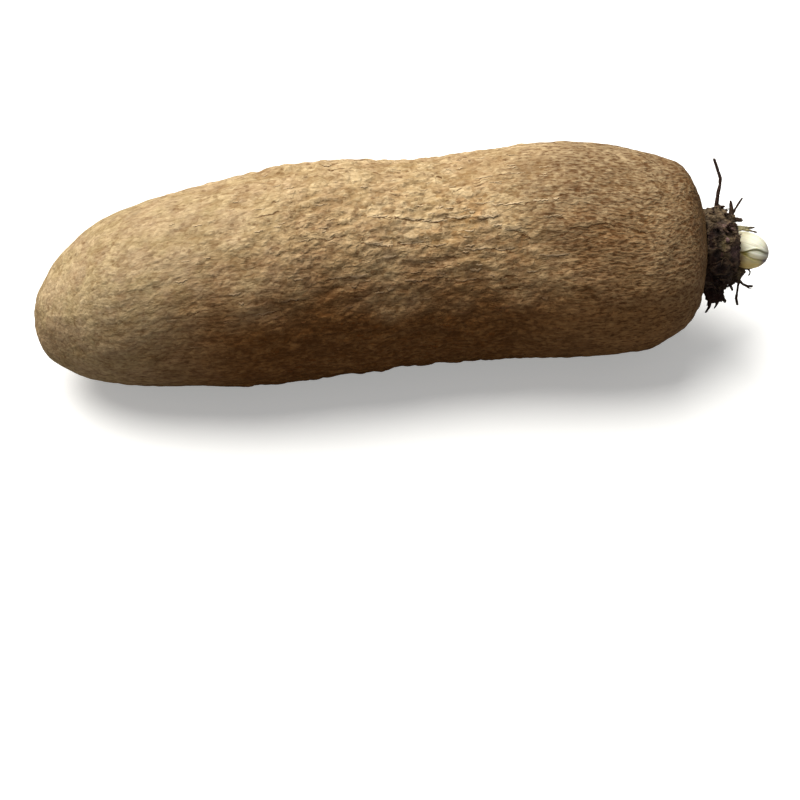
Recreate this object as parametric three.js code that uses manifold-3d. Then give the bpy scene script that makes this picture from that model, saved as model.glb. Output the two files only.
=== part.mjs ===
// A white yam lying on its side: the long brown tuber, the dark root crown on its right end
// and the pale sprout bud seated in that crown.
// Millimetres, +Z up, X along the tuber from its blunt tip to its crown. The origin is on the
// resting surface, under the middle of the yam's bounding box.

import * as THREE from "three";
import { ImprovedNoise } from "three/addons/math/ImprovedNoise.js";
import { mergeVertices } from "three/addons/utils/BufferGeometryUtils.js";
import Module from "manifold-3d";

const wasm = await Module();
wasm.setup();

// Driving dimensions

const TUBER_LENGTH = 333;
const TUBER_RADIUS = 54.5;
const TUBER_BOW = 8;
const FITTING_GAP = 0.35;
const CROWN_RADIUS = 20;
const CROWN_LENGTH = 16.5;
const CROWN_SEAT = new THREE.Vector3(TUBER_LENGTH + 3, -0.5, 51);
const BUD_RADIUS = 8.9;
const BUD_LENGTH = 23;
const BUD_SCALE_STEP = 0.9;

// The long rootlets fan out in a plane that leans back from upright by the first angle, and the
// crown nods down in that plane by the second.
const FAN_LEAN = THREE.MathUtils.degToRad(46);
const CROWN_NOD = THREE.MathUtils.degToRad(-4);

// The facets of each skin, counted round the axis and along it
const TUBER_FACETS = { around: 64, along: 56 };
const CROWN_FACETS = { around: 30, along: 18 };
const BUD_FACETS = { around: 40, along: 22 };
const ROOT_SIDES = 5;

const GOLDEN_ANGLE = 2.39996;
const SEED = 11;
const COLOURS = { skin: 0x94744c, root: 0x33241c, bud: 0xe4dcae };

// Where the tuber swells and narrows: the share of its length, the share of its greatest
// radius, the share of its bow to +Y, and the height of its axis in millimetres
const TUBER_FORM = [
  [0, 0, 0, 38],
  [0.009, 0.26, 0.03, 38.5],
  [0.04, 0.485, 0.18, 40],
  [0.094, 0.7, 0.3, 43],
  [0.19, 0.85, 0.45, 46.8],
  [0.32, 0.945, 0.65, 49.5],
  [0.45, 0.965, 0.9, 50],
  [0.6, 0.93, 0.98, 49.6],
  [0.7, 0.97, 0.95, 51.2],
  [0.8, 0.99, 0.6, 52],
  [0.89, 0.94, 0.3, 51.2],
  [0.935, 0.86, 0.2, 51.4],
  [0.972, 0.735, 0.22, 52.7],
  [0.992, 0.49, 0.2, 53.3],
  [0.999, 0.32, 0.15, 53.2],
  [0.996, 0.16, 0.1, 52.8],
  [0.992, 0, 0.05, 52.3],
];

// The crown's outline from the share of its length that is sunk in the tuber to its outer end,
// with the share of its radius
const CROWN_FORM = [
  [-0.5, 0],
  [-0.48, 0.62],
  [-0.18, 0.94],
  [0.12, 1],
  [0.4, 0.97],
  [0.64, 0.87],
  [0.79, 0.72],
  [0.87, 0.52],
  [0.88, 0.3],
  [0.88, 0],
];

// The bud's outline from its hidden foot to its tip: the share of its length and of its radius
const BUD_FORM = [
  [0, 0],
  [0.02, 0.5],
  [0.18, 0.84],
  [0.42, 1],
  [0.66, 0.96],
  [0.85, 0.72],
  [0.96, 0.36],
  [1, 0],
];

// The unevenness of each skin: how high it is, and how long and wide its bumps are
const TUBER_RELIEF = {
  swellings: { height: 1.6, length: 62, width: 48 },
  dimples: { height: 0.75, length: 26, width: 17 },
  wrinkles: { height: 0.5, length: 38, width: 8 },
};
const CROWN_RELIEF = {
  knobs: { height: 1.5, length: 8, width: 8 },
  bark: { height: 0.9, length: 3.4, width: 3.4 },
};

// The rootlets that show clear of the crown. A route is a list of places in the fan: the distance
// along the crown's axis, the height in the fan, and the distance in front of it where there is one.
// Each starts well inside the knob. The taper is the share of the thickness left at the tip.
const LONG_ROOTLETS = [
  {
    route: [[4.5, 12], [5.2, 20], [6.3, 28], [7.6, 34.5], [6.2, 39.5], [4.4, 45]],
    thickness: 2.6,
    taper: 0.6,
    steps: 10,
  },
  { route: [[9, 9], [12.4, 15], [15, 20], [18.6, 25.4]], thickness: 1.8 },
  { route: [[10.6, 9, 1], [12.6, 17, 1], [12.4, 24, 1]], thickness: 6.6, taper: 0.26, flatness: 0.8 },
  { route: [[-1, -12], [-0.4, -19], [1.4, -26], [1, -30], [-0.8, -32]], thickness: 5.4, taper: 0.18 },
  { route: [[3, -12], [4.2, -20], [5.6, -26.5], [3.6, -30]], thickness: 5.4, taper: 0.18 },
  { route: [[6.2, -11], [7.4, -20], [8.8, -26.5]], thickness: 5, taper: 0.22 },
  { route: [[1, -12], [2.6, -19], [3.8, -27.4]], thickness: 5.5, taper: 0.5 },
  { route: [[5, -11], [6, -18.5], [6.6, -26.8]], thickness: 4.8, taper: 0.5 },
  { route: [[14, -7], [16.2, -14.5], [15.6, -21], [14.9, -25.5], [15.6, -28.3]], thickness: 1.8, taper: 0.8 },
  { route: [[14, -7], [17, -16.4], [19.8, -18.7], [23.7, -18.8]], thickness: 1.7, taper: 0.8 },
  { route: [[12, -8.5], [18, -10], [21.5, -10.4], [22.4, -12], [21.3, -13.6]], thickness: 1.8 },
];

// The longest dry shreds of old scale leaves, on routes like those of the rootlets
const LONG_SHREDS = [
  { route: [[10, 8], [15, 10.6], [19.6, 10.4], [25, 10.4]], thickness: 3.8, taper: 0.3, flatness: 0.75 },
  {
    route: [[11, 7.6, 2], [16, 9.7, 2], [21, 9, 2], [25.6, 7.9, 2]],
    thickness: 3.4,
    taper: 0.3,
    flatness: 0.75,
  },
  { route: [[9, 10], [14, 14.4], [18.4, 14.2]], thickness: 6.4, taper: 0.34, flatness: 0.6 },
  { route: [[8, -9], [13.5, -12.6], [18.4, -12.2]], thickness: 5, taper: 0.4, flatness: 0.5 },
  { route: [[8, -7], [13, -10.6], [18.2, -12.2]], thickness: 11, taper: 0.72 },
  { route: [[7, -8], [11, -13.4], [13.8, -17.2]], thickness: 8.5, taper: 0.55 },
  { route: [[9, -8], [15, -9.6], [20, -10.1], [25.8, -8.8]], thickness: 2.8, taper: 0.45 },
  { route: [[0, 14], [2.6, 19.2], [6, 20.6], [9.6, 21.2]], thickness: 5.5, taper: 0.45, flatness: 0.5 },
];

// The seeded growths: how many there are, and the range of each of their sizes
const NODULES = { count: 15, along: [0.5, 12.4], size: [1.8, 3.6], flattening: [0.6, 1.1] };
const STUBS = { count: 30, along: [0.5, 12.5], reach: [1, 4.2], lean: [0.1, 0.9], girth: [1.7, 3.4] };
const SHREDS = { count: 11, reach: [0.8, 3.2], flare: [0, 2.6], width: [3, 4.6] };

// Shared helpers

const perlin = new ImprovedNoise();

// Smooth noise from -1 to 1 at a point, for bumps of the given length along X and width across
function bumps(point, length, width) {
  return perlin.noise(point.x / length, point.y / width, point.z / width);
}

function unevenness(point, relief) {
  return Object.values(relief).reduce((sum, r) => sum + r.height * bumps(point, r.length, r.width), 0);
}

function random(low, high) {
  return low + (high - low) * THREE.MathUtils.seededRandom();
}

function onlyPositions(geometry) {
  geometry.deleteAttribute("normal");
  geometry.deleteAttribute("uv");
  return mergeVertices(geometry);
}

function movePoints(geometry, place) {
  const position = geometry.attributes.position;
  for (let i = 0; i < position.count; i += 1) {
    const moved = place(new THREE.Vector3().fromBufferAttribute(position, i));
    position.setXYZ(i, moved.x, moved.y, moved.z);
  }
  return geometry;
}

function solidOf(geometry) {
  return new wasm.Manifold(
    new wasm.Mesh({
      numProp: 3,
      vertProperties: geometry.attributes.position.array,
      triVerts: new Uint32Array(geometry.index.array),
    }),
  );
}

function geometryOf(solid) {
  const mesh = solid.getMesh();
  const geometry = new THREE.BufferGeometry();
  geometry.setAttribute("position", new THREE.BufferAttribute(mesh.vertProperties, 3));
  geometry.setIndex(new THREE.BufferAttribute(mesh.triVerts, 1));
  return geometry;
}

// The largest of the bodies that a cut leaves, so that no loose scrap is kept
function mainBody(solid) {
  return solid.decompose().reduce((best, body) => (body.volume() > best.volume() ? body : best));
}

// A closed skin round a curved axis. Each station gives a place along X, the skin's radius there
// and where the axis lies across (y) and in height (z). The rings of a sphere are laid along that
// outline, and relief(point) raises each point outwards.
function roundSkin(stations, facets, relief) {
  const outline = new THREE.CatmullRomCurve3(stations.map((s) => new THREE.Vector3(s.x, s.radius, 0)));
  const axis = new THREE.CatmullRomCurve3(stations.map((s) => new THREE.Vector3(s.x, s.y, s.z)));
  const rings = [];
  for (let i = 0; i <= facets.along; i += 1) {
    const t = outline.getUtoTmapping(i / facets.along);
    rings.push({ edge: outline.getPoint(t), slope: outline.getTangent(t), centre: axis.getPoint(t) });
  }
  const sphere = onlyPositions(new THREE.SphereGeometry(1, facets.around, facets.along));
  return movePoints(sphere, (point) => {
    const polar = Math.acos(THREE.MathUtils.clamp(-point.y, -1, 1));
    const ring = rings[Math.round((polar / Math.PI) * facets.along)];
    const clock = Math.atan2(point.x, point.z);
    const raisedBy = (height) => {
      const radius = Math.max(ring.edge.y, 0) + ring.slope.x * height;
      return new THREE.Vector3(
        ring.edge.x - ring.slope.y * height,
        ring.centre.y + radius * Math.cos(clock),
        ring.centre.z + radius * Math.sin(clock),
      );
    };
    return raisedBy(relief(raisedBy(0)));
  });
}

// A round or flattened rootlet along a smooth curve through the points, thinner at its far end
function rootlet(points, { thickness, taper = 0.6, flatness = 1, steps = 6 }) {
  const path = new THREE.CatmullRomCurve3(points);
  const frames = path.computeFrenetFrames(steps);
  const radius = thickness / 2;
  const tube = onlyPositions(new THREE.CylinderGeometry(radius * taper, radius, 1, ROOT_SIDES, steps));
  return solidOf(
    movePoints(tube, (point) => {
      const step = Math.round((point.y + 0.5) * steps);
      return path
        .getPointAt(step / steps)
        .addScaledVector(frames.binormals[step], point.x)
        .addScaledVector(frames.normals[step], point.z * flatness);
    }),
  );
}

// The tuber

function tuberSkin(growth) {
  const stations = TUBER_FORM.map(([along, radius, bow, height]) => ({
    x: along * TUBER_LENGTH,
    radius: radius * TUBER_RADIUS,
    y: bow * TUBER_BOW,
    z: height,
  }));
  return roundSkin(stations, TUBER_FACETS, (point) => unevenness(point, TUBER_RELIEF) + growth);
}

// The tuber lies on a flat spot that its own weight has pressed: nothing of it is lower than that.
function settled(geometry) {
  return movePoints(geometry, (point) => point.setZ(Math.max(point.z, 0)));
}

// The root crown, in its own frame: X runs outwards from the tuber's end

// A point by its distance along the crown's axis, its height in the fan of the long rootlets,
// and its distance in front of that fan
function inFan(along, up, front = 0) {
  return new THREE.Vector3(
    along,
    up * Math.sin(FAN_LEAN) - front * Math.cos(FAN_LEAN),
    up * Math.cos(FAN_LEAN) + front * Math.sin(FAN_LEAN),
  );
}

const CROWN_PLACE = new THREE.Matrix4().makeRotationAxis(inFan(0, 0, 1), CROWN_NOD).setPosition(CROWN_SEAT);

// A point by its distance along the crown's axis, its distance out from it and the angle round it
function roundAxis(along, out, clock) {
  return new THREE.Vector3(along, out * Math.cos(clock), out * Math.sin(clock));
}

function crownKnob() {
  const stations = CROWN_FORM.map(([along, radius]) => ({
    x: along * CROWN_LENGTH,
    radius: radius * CROWN_RADIUS,
    y: 0,
    z: 0,
  }));
  return solidOf(roundSkin(stations, CROWN_FACETS, (point) => unevenness(point, CROWN_RELIEF)));
}

function crownRadiusAt(along) {
  const share = along / CROWN_LENGTH;
  const next = CROWN_FORM.findIndex(([place]) => place > share);
  const [before, after] = [CROWN_FORM[next - 1], CROWN_FORM[next]];
  return THREE.MathUtils.mapLinear(share, before[0], after[0], before[1], after[1]) * CROWN_RADIUS;
}

// Pushes a lump's points about, so that it isn't round
function gnarled(lump) {
  return movePoints(lump, (point) => {
    const push = bumps(point, 2.3, 2.3);
    return point.add(new THREE.Vector3(push, -push, push));
  });
}

// Woody nodules where old vines and roots broke off
function nodules() {
  return Array.from({ length: NODULES.count }, (_, i) => {
    const along = random(...NODULES.along);
    const size = random(...NODULES.size);
    const clock = i * GOLDEN_ANGLE + random(-0.4, 0.4);
    const centre = roundAxis(along, crownRadiusAt(along) - 0.4 * size, clock);
    const lump = gnarled(onlyPositions(new THREE.IcosahedronGeometry(size, 1)));
    lump.scale(random(...NODULES.flattening), 1, 1);
    lump.translate(centre.x, centre.y, centre.z);
    return solidOf(lump);
  });
}

// Broken root stubs all round the knob, thick ones near the tuber and thin ones further out
function rootStubs() {
  const rooted = 5;
  return Array.from({ length: STUBS.count }, (_, i) => {
    const clock = i * GOLDEN_ANGLE + random(-0.3, 0.3);
    const along = random(...STUBS.along);
    const surface = crownRadiusAt(along);
    const reach = random(...STUBS.reach);
    const lean = random(...STUBS.lean) * reach;
    const turn = random(-0.22, 0.22);
    const points = [
      roundAxis(along - 0.2 * lean, surface - rooted, clock),
      roundAxis(along, surface, clock),
      roundAxis(along + 0.45 * lean, surface + 0.55 * reach, clock + 0.4 * turn),
      roundAxis(along + lean, surface + reach, clock + turn),
    ];
    const thickness = random(...STUBS.girth) * (1.25 - along / CROWN_LENGTH / 2);
    return rootlet(points, { thickness, taper: random(0.35, 0.8), steps: 3 });
  });
}

// Short dry shreds of old scale leaves, which stand round the bud's foot
function scaleShreds() {
  const foot = 0.76 * CROWN_LENGTH;
  const out = BUD_RADIUS + 2.3;
  return Array.from({ length: SHREDS.count }, (_, i) => {
    const clock = (i / SHREDS.count) * 2 * Math.PI + random(-0.2, 0.2);
    const reach = random(...SHREDS.reach);
    const points = [
      roundAxis(foot - 4.5, out - 3.7, clock),
      roundAxis(foot, out, clock),
      roundAxis(foot + 0.5 * reach, out + 0.9, clock + 0.05),
      roundAxis(foot + reach, out + 0.4 + random(...SHREDS.flare), clock + random(-0.1, 0.1)),
    ];
    return rootlet(points, { thickness: random(...SHREDS.width), taper: 0.3, flatness: 0.3, steps: 3 });
  });
}

function placedGrowths() {
  return [...LONG_ROOTLETS, ...LONG_SHREDS].map((growth) =>
    rootlet(growth.route.map((place) => inFan(...place)), growth),
  );
}

// The crown's parts grow from one another, so they are one solid. It sits on the tuber's end and
// round the bud's foot with a fine gap.
function crownSolid() {
  THREE.MathUtils.seededRandom(SEED);
  const growths = [...nodules(), ...placedGrowths(), ...rootStubs(), ...scaleShreds()];
  const grown = growths.reduce((whole, growth) => whole.add(growth), crownKnob());
  const tuber = tuberSkin(FITTING_GAP).applyMatrix4(CROWN_PLACE.clone().invert());
  return mainBody(grown.subtract(solidOf(tuber)).subtract(solidOf(budSkin(() => FITTING_GAP))));
}

// The sprout bud, in its own frame: X runs from its hidden foot to its tip, and the gap between
// its outer scales is on the +Y side.

const BUD_FOOT = inFan(8.5, 2.4, 2.2);
const BUD_AIM = inFan(0.93, -0.3, 0.2).normalize();
const BUD_GAP_SIDE = inFan(0, -0.35, 1);

// Two outer scales close over the bud and leave a lens-shaped gap on its front, in which the
// inner scale shows lower down. A narrower gap lies on its back.
function scaleRelief(point) {
  const along = THREE.MathUtils.clamp(point.x / BUD_LENGTH, 0, 1);
  const clock = Math.atan2(point.z, point.y);
  const opening = Math.sin(Math.PI * THREE.MathUtils.smoothstep(along, 0.36, 1.02));
  const front = Math.abs(clock) - 0.42 * opening;
  const back = Math.PI - Math.abs(clock) - 0.2 * opening;
  const onScale = THREE.MathUtils.smoothstep(Math.min(front, back), -0.12, 0.2);
  return BUD_SCALE_STEP * (onScale - 1);
}

function budSkin(relief) {
  const stations = BUD_FORM.map(([along, radius]) => ({
    x: along * BUD_LENGTH,
    radius: radius * BUD_RADIUS,
    y: 0,
    z: 0,
  }));
  const acrossGap = BUD_GAP_SIDE.clone().projectOnPlane(BUD_AIM).normalize();
  const upFromGap = new THREE.Vector3().crossVectors(BUD_AIM, acrossGap);
  const place = new THREE.Matrix4().makeBasis(BUD_AIM, acrossGap, upFromGap).setPosition(BUD_FOOT);
  return roundSkin(stations, BUD_FACETS, relief).applyMatrix4(place);
}

function piece(name, geometry, colour, roughness) {
  const mesh = new THREE.Mesh(
    geometry,
    new THREE.MeshStandardMaterial({ color: colour, roughness, metalness: 0, flatShading: true }),
  );
  mesh.name = name;
  return mesh;
}

const crownEnd = new THREE.Group();
crownEnd.applyMatrix4(CROWN_PLACE);
crownEnd.add(piece("root_crown", geometryOf(crownSolid()), COLOURS.root, 0.95));
crownEnd.add(piece("sprout_bud", budSkin(scaleRelief), COLOURS.bud, 0.45));

const yam = new THREE.Group();
yam.add(piece("tuber", settled(tuberSkin(0)), COLOURS.skin, 0.9));
yam.add(crownEnd);

const extent = new THREE.Box3().setFromObject(yam, true);
const middle = extent.getCenter(new THREE.Vector3());
yam.position.set(-middle.x, -middle.y, -extent.min.z);

export default yam;
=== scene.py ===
"""A white yam on its side: corky tuber, dark root crown and pale sprout bud, dressed over its solid model."""

import math
import random

import bpy
import numpy as np
from bpy.props import FloatProperty, FloatVectorProperty, IntProperty, PointerProperty
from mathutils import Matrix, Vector, noise
from mathutils.bvhtree import BVHTree


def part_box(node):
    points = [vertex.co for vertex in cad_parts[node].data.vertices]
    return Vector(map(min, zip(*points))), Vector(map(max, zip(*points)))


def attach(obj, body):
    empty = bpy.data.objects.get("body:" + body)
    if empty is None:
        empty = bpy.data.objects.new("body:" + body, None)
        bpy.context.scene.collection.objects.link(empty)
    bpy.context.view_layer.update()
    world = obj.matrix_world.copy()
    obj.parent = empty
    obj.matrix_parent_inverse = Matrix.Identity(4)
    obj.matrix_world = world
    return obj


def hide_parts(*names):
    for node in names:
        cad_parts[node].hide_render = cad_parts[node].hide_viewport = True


bl_info = {
    "name": "White Yam",
    "version": (1, 0, 0),
    "blender": (4, 5, 0),
    "location": "3D View > Sidebar > White Yam",
    "description": "Dresses the solids of a white yam with cork skin, bark, root fibres and bud scales",
    "category": "Object",
}

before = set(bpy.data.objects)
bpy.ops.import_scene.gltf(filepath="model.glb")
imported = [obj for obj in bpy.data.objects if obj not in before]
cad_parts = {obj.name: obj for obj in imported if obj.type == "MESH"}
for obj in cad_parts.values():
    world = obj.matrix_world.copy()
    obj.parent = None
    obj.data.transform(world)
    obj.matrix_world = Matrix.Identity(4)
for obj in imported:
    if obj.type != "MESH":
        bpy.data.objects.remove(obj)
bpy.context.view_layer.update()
MM = 0.001
SEED = 29

# Loose scraps stay this many millimetres above the surface that the yam lies on
CLEAR_OF_FLOOR = 1.2

# Where the sprout bud stands, in millimetres: its hidden foot, the way it points and its open side
BUD_FOOT = (161.73, -5.94, 53.83)
BUD_AIM = (0.9091, -0.4019, -0.1094)
BUD_GAP_SIDE = (-0.0244, -0.9458, 0.4768)
BUD_LENGTH = 23.0
BUD_RADIUS = 8.9

# The bud's outline from foot to tip: the share of its length and of its radius
BUD_FORM = ((0, 0), (0.02, 0.5), (0.18, 0.84), (0.42, 1), (0.66, 0.96), (0.85, 0.72), (0.96, 0.36), (1, 0))

# The middle of the crown's seat on the tuber's end
CROWN_FOOT = (153.08, -5.71, 51.0)

# The crown's roots lie mostly in one leaning fan: the way up in it and the way out of its front
FAN_UP = (0.0698, 0.7176, 0.693)
FAN_FRONT = (0.0, -0.6947, 0.7193)

# Long splits in the skin that catch the eye: the place of the middle in millimetres from the tip,
# the angle from the top (towards the front is negative), the length, the lean and the strength
MAIN_SPLITS = (
    (193, -25.1, 25, -0.04, 1.0),
    (216, -26.1, 29, -0.03, 1.0),
    (233, -35.1, 14, -0.14, 1.0),
    (235, -20.4, 40, -0.10, 0.8),
    (222, -44.5, 28, -0.07, 0.8),
    (170, -20.8, 18, -0.11, 0.7),
    (167, -36.9, 15, -0.13, 0.9),
    (193, -40.3, 11, -0.09, 0.6),
    (190, 11.4, 12, 0.0, 0.6),
    (223, -4.3, 11, -0.09, 0.6),
    (266, -36.0, 23, 0.3, 0.9),
    (280, -34.1, 6, 0.0, 0.7),
    (293, -36.9, 12, 0.0, 0.7),
    (273, -13.7, 12, 0.08, 0.8),
    (188, -3.8, 8, 0.0, 0.6),
    (260, -17.1, 11, 0.18, 0.7),
    (239, -39.3, 6, -0.2, 0.6),
    (212, -5.7, 11, 0.18, 0.6),
    (253, -29.4, 12, -0.16, 0.7),
    (192, -58.0, 22, -0.02, 0.7),
    (227, -60.0, 18, 0.02, 0.6),
    (252, -50.4, 20, 0.01, 0.7),
    (142, -31.0, 26, 0.08, 0.5),
    (120, -12.0, 24, 0.1, 0.5),
    (52, 27.0, 10, -0.4, 0.4),
)

# Swellings of the cork that catch the eye: the place, the angle, the half length and the half width
MAIN_SWELLINGS = (
    (167.0, -27.5, 5.0, 2.4),
    (176.5, -28.4, 5.0, 2.2),
    (238.1, -28.2, 3.6, 1.7),
    (204.0, -14.0, 4.0, 1.8),
    (210.0, -33.0, 3.4, 1.8),
)

# Root scars that catch the eye: the place, the angle and the size in millimetres
MAIN_SCARS = ((266.2, -14.2, 3.4), (267.6, -67.3, 2.8))

# Where cork comes loose, in millimetres from the tip: along splits, and elsewhere with its likeliest place
SPLIT_FLAKE_PLACES = (50, 258)
FLAKE_PLACES = (52, 262, 205)

# Only splits at least this strong have flakes along them
FLAKING_STRENGTH = 0.65


def paint(red, green, blue):
    """The linear colour of a paint chip whose channels go from 0 to 255."""
    shares = (channel / 255 for channel in (red, green, blue))
    return tuple(s / 12.92 if s <= 0.04045 else ((s + 0.055) / 1.055) ** 2.4 for s in shares)


def colour_setting(name, description, chip):
    """A colour that a user can choose, which starts as a paint chip."""
    return FloatVectorProperty(
        name=name, description=description, subtype="COLOR", size=3, min=0, max=1, default=paint(*chip)
    )


def length_setting(name, description, millimetres):
    """A length that a user can choose, which starts as so many millimetres."""
    return FloatProperty(
        name=name, description=description, unit="LENGTH", subtype="DISTANCE", min=0, default=millimetres * MM
    )


def angle_setting(name, description, degrees):
    return FloatProperty(name=name, description=description, subtype="ANGLE", default=math.radians(degrees))


def number_setting(name, description, number):
    return FloatProperty(name=name, description=description, min=0, default=number)


def count_setting(name, description, count):
    return IntProperty(name=name, description=description, min=0, default=count)


class YamSkinSettings(bpy.types.PropertyGroup):
    """Sizes and colours of the tuber's skin"""

    lump_height: length_setting("Lump Height", "How far the broad lumps stand out", 1.0)
    ripple_height: length_setting("Ripple Height", "How far the lengthwise ripples stand out", 0.3)
    split_depth: length_setting("Split Depth", "How deep the splits in the cork go", 0.14)
    lip_height: length_setting("Lip Height", "How far the edge of a split lifts", 0.22)
    split_count: count_setting("Splits", "How many small splits there are", 130)
    flake_count: count_setting("Flakes", "How many loose cork flakes there are", 330)
    scar_count: count_setting("Scars", "How many root scars there are", 70)
    dust: colour_setting("Dust", "The dry skin on top", (218, 190, 150))
    sand: colour_setting("Sand", "The smooth skin at the young end", (172, 153, 122))
    gold: colour_setting("Gold", "Freshly flaked cork", (212, 170, 116))
    grey: colour_setting("Grey", "Weathered skin near the crown", (128, 103, 75))
    rose: colour_setting("Rose", "Young cork under lost flakes", (192, 154, 120))
    olive: colour_setting("Olive", "The greenish bloom in sunlit places", (184, 164, 98))
    # The low sides of the tuber made darker: partly soil stain, partly painted shade
    low_side_shade_and_stain: colour_setting("Umber", "The damp skin low on the sides", (106, 60, 13))
    shadow: colour_setting("Split Colour", "The inside of splits and pits", (86, 52, 22))
    # Lip Colour is the painted highlight on the crests of the cork, the lips of splits and the lifted edges
    # of flakes
    lip: colour_setting("Lip Colour", "The dry edges of flakes", (232, 206, 160))
    # Painted shade in the hollows of the cork and its grain
    hollow_shade: colour_setting("Valley", "The hollows between the lumps", (136, 104, 64))
    # Ember is the painted highlight on the crests of the darker low sides, and a paler patch colour there
    ember: colour_setting("Ember", "The dry crests of the damp skin", (182, 136, 84))
    earth: colour_setting("Earth", "The brown skin round the crown's seat", (88, 54, 29))


class YamCrownSettings(bpy.types.PropertyGroup):
    """Sizes and colours of the root crown"""

    cell: length_setting("Mesh Cell", "The size of the crown's mesh cells", 0.33)
    bark_height: length_setting("Bark Height", "How far the bark's ridges stand out", 0.8)
    hair_count: count_setting("Hairs", "How many fine root hairs are tried", 60)
    strip_count: count_setting("Strips", "How many bark strips are tried", 130)
    plate_count: count_setting("Plates", "How many old scale leaves are tried", 56)
    bark: colour_setting("Bark", "The dark body of the crown", (48, 22, 10))
    # Weathered Bark is also the colour of the painted highlights on the crown's ridges
    weathered: colour_setting("Weathered Bark", "The dry ridges of the crown", (124, 104, 76))
    bloom: colour_setting("Bloom", "The purple-grey bloom on young bark", (132, 104, 100))
    straw: colour_setting("Straw", "The dry scale leaves round the bud", (168, 158, 118))
    moss: colour_setting("Moss", "The olive lumps on the crown's front", (118, 102, 66))


class YamBudSettings(bpy.types.PropertyGroup):
    """Sizes and colours of the sprout bud"""

    scale_step: length_setting("Scale Step", "How far an outer scale stands over the inner one", 0.65)
    cream: colour_setting("Cream", "The body of the scales", (255, 253, 228))
    fold: colour_setting("Fold", "The green-yellow of the folds", (140, 130, 18))
    tip: colour_setting("Tip", "The grey-purple of the bud's tip", (120, 108, 112))
    blush: colour_setting("Blush", "The red-brown at the bud's foot", (124, 70, 44))
    husk: colour_setting("Husk", "The yellow-brown of the lower scale", (255, 220, 116))


class YamStageSettings(bpy.types.PropertyGroup):
    """The camera, the floor and the lights"""

    azimuth: angle_setting("Azimuth", "How far the camera is turned from the front", -6.5)
    elevation: angle_setting("Elevation", "How high the camera stands", 47)
    lens: FloatProperty(name="Lens", description="Focal length in millimetres", min=1, default=100)
    distance: FloatProperty(
        name="Distance", description="How far the camera is from its target",
        unit="LENGTH", min=0.1, default=1.111
    )
    target: FloatVectorProperty(
        name="Target", description="Where the camera looks",
        subtype="TRANSLATION", default=(-0.0058, -0.0449, 0.001)
    )
    key_strength: number_setting("Key", "Strength of the soft light above", 4.7)
    fill_strength: number_setting("Fill", "Strength of the light all round", 0.17)
    floor: colour_setting("Floor", "The pale floor", (238, 238, 236))
    floor_glow: FloatProperty(
        name="Floor Glow", description="How far the floor's shadows are lifted", default=0.4
    )


# Node trees


class NodeDesk:
    """Lays nodes in one node tree and gives back their output sockets."""

    def __init__(self, tree):
        self.tree = tree

    def add(self, kind, inputs=None, **choices):
        node = self.tree.nodes.new(kind)
        for name, value in choices.items():
            setattr(node, name, value)
        for key, value in (inputs or {}).items():
            self.feed(node.inputs[key], value)
        return node

    def feed(self, socket, value):
        if isinstance(value, bpy.types.NodeSocket):
            self.tree.links.new(value, socket)
        elif socket.type == "RGBA" and len(value) == 3:
            socket.default_value = (*value, 1)
        else:
            socket.default_value = value

    def math(self, operation, *values):
        return self.add("ShaderNodeMath", dict(enumerate(values)), operation=operation).outputs[0]

    def times(self, value, *factors):
        for factor in factors:
            value = self.math("MULTIPLY", value, factor)
        return value

    def scaled(self, value, factor, start):
        """A value times a factor, added to a start."""
        return self.math("MULTIPLY_ADD", value, factor, start)

    def vector(self, operation, *values):
        return self.add("ShaderNodeVectorMath", dict(enumerate(values)), operation=operation).outputs[0]

    def mix(self, factor, first, second, blend="MIX"):
        inputs = {0: factor, 6: first, 7: second}
        node = self.add("ShaderNodeMix", inputs, data_type="RGBA", blend_type=blend, clamp_factor=True)
        return node.outputs[2]

    def coats(self, colour, *coats):
        """Lays coats over a colour. Each coat is a mask and a colour."""
        for mask, coat in coats:
            colour = self.mix(mask, colour, coat)
        return colour

    def rise(self, value, low, high):
        """Goes smoothly from 0 at low to 1 at high."""
        inputs = {0: value, 1: low, 2: high, 3: 0.0, 4: 1.0}
        node = self.add("ShaderNodeMapRange", inputs, interpolation_type="SMOOTHSTEP", clamp=True)
        return node.outputs[0]

    def noise(self, vector, scale, detail=2.0, roughness=0.5):
        inputs = {"Vector": vector, "Scale": scale, "Detail": detail, "Roughness": roughness}
        return self.add("ShaderNodeTexNoise", inputs).outputs[0]

    def attribute(self, name):
        return self.add("ShaderNodeAttribute", attribute_name=name).outputs["Vector"]

    def parts(self, vector):
        return self.add("ShaderNodeSeparateXYZ", {0: vector}).outputs[:3]

    def masks(self, name):
        """The three values of one of the mesh's attributes."""
        return self.parts(self.attribute(name))

    def place(self, group, **inputs):
        """Places an effect group, with its inputs by name."""
        node = self.add("ShaderNodeGroup", node_tree=group)
        for name, value in inputs.items():
            self.feed(node.inputs[name], value)
        return node.outputs


def effect_group(name, inputs, outputs):
    """An empty shader group with float inputs by name and default, and the coordinates before them."""
    if name in bpy.data.node_groups:
        return bpy.data.node_groups[name], None, None, None
    group = bpy.data.node_groups.new(name, "ShaderNodeTree")
    group.interface.new_socket("Coordinates", in_out="INPUT", socket_type="NodeSocketVector")
    for label, default in inputs.items():
        socket = group.interface.new_socket(label, in_out="INPUT", socket_type="NodeSocketFloat")
        socket.default_value = default
    for label in outputs:
        group.interface.new_socket(label, in_out="OUTPUT", socket_type="NodeSocketFloat")
    desk = NodeDesk(group)
    given = desk.add("NodeGroupInput").outputs
    result = desk.add("NodeGroupOutput").inputs
    return group, desk, given, result


def stretched(desk, coordinates, length, width):
    """Divides coordinates by a length along X and a width across."""
    size = desk.add("ShaderNodeCombineXYZ", {0: length, 1: width, 2: width}).outputs[0]
    return desk.vector("DIVIDE", coordinates, size)


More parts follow.
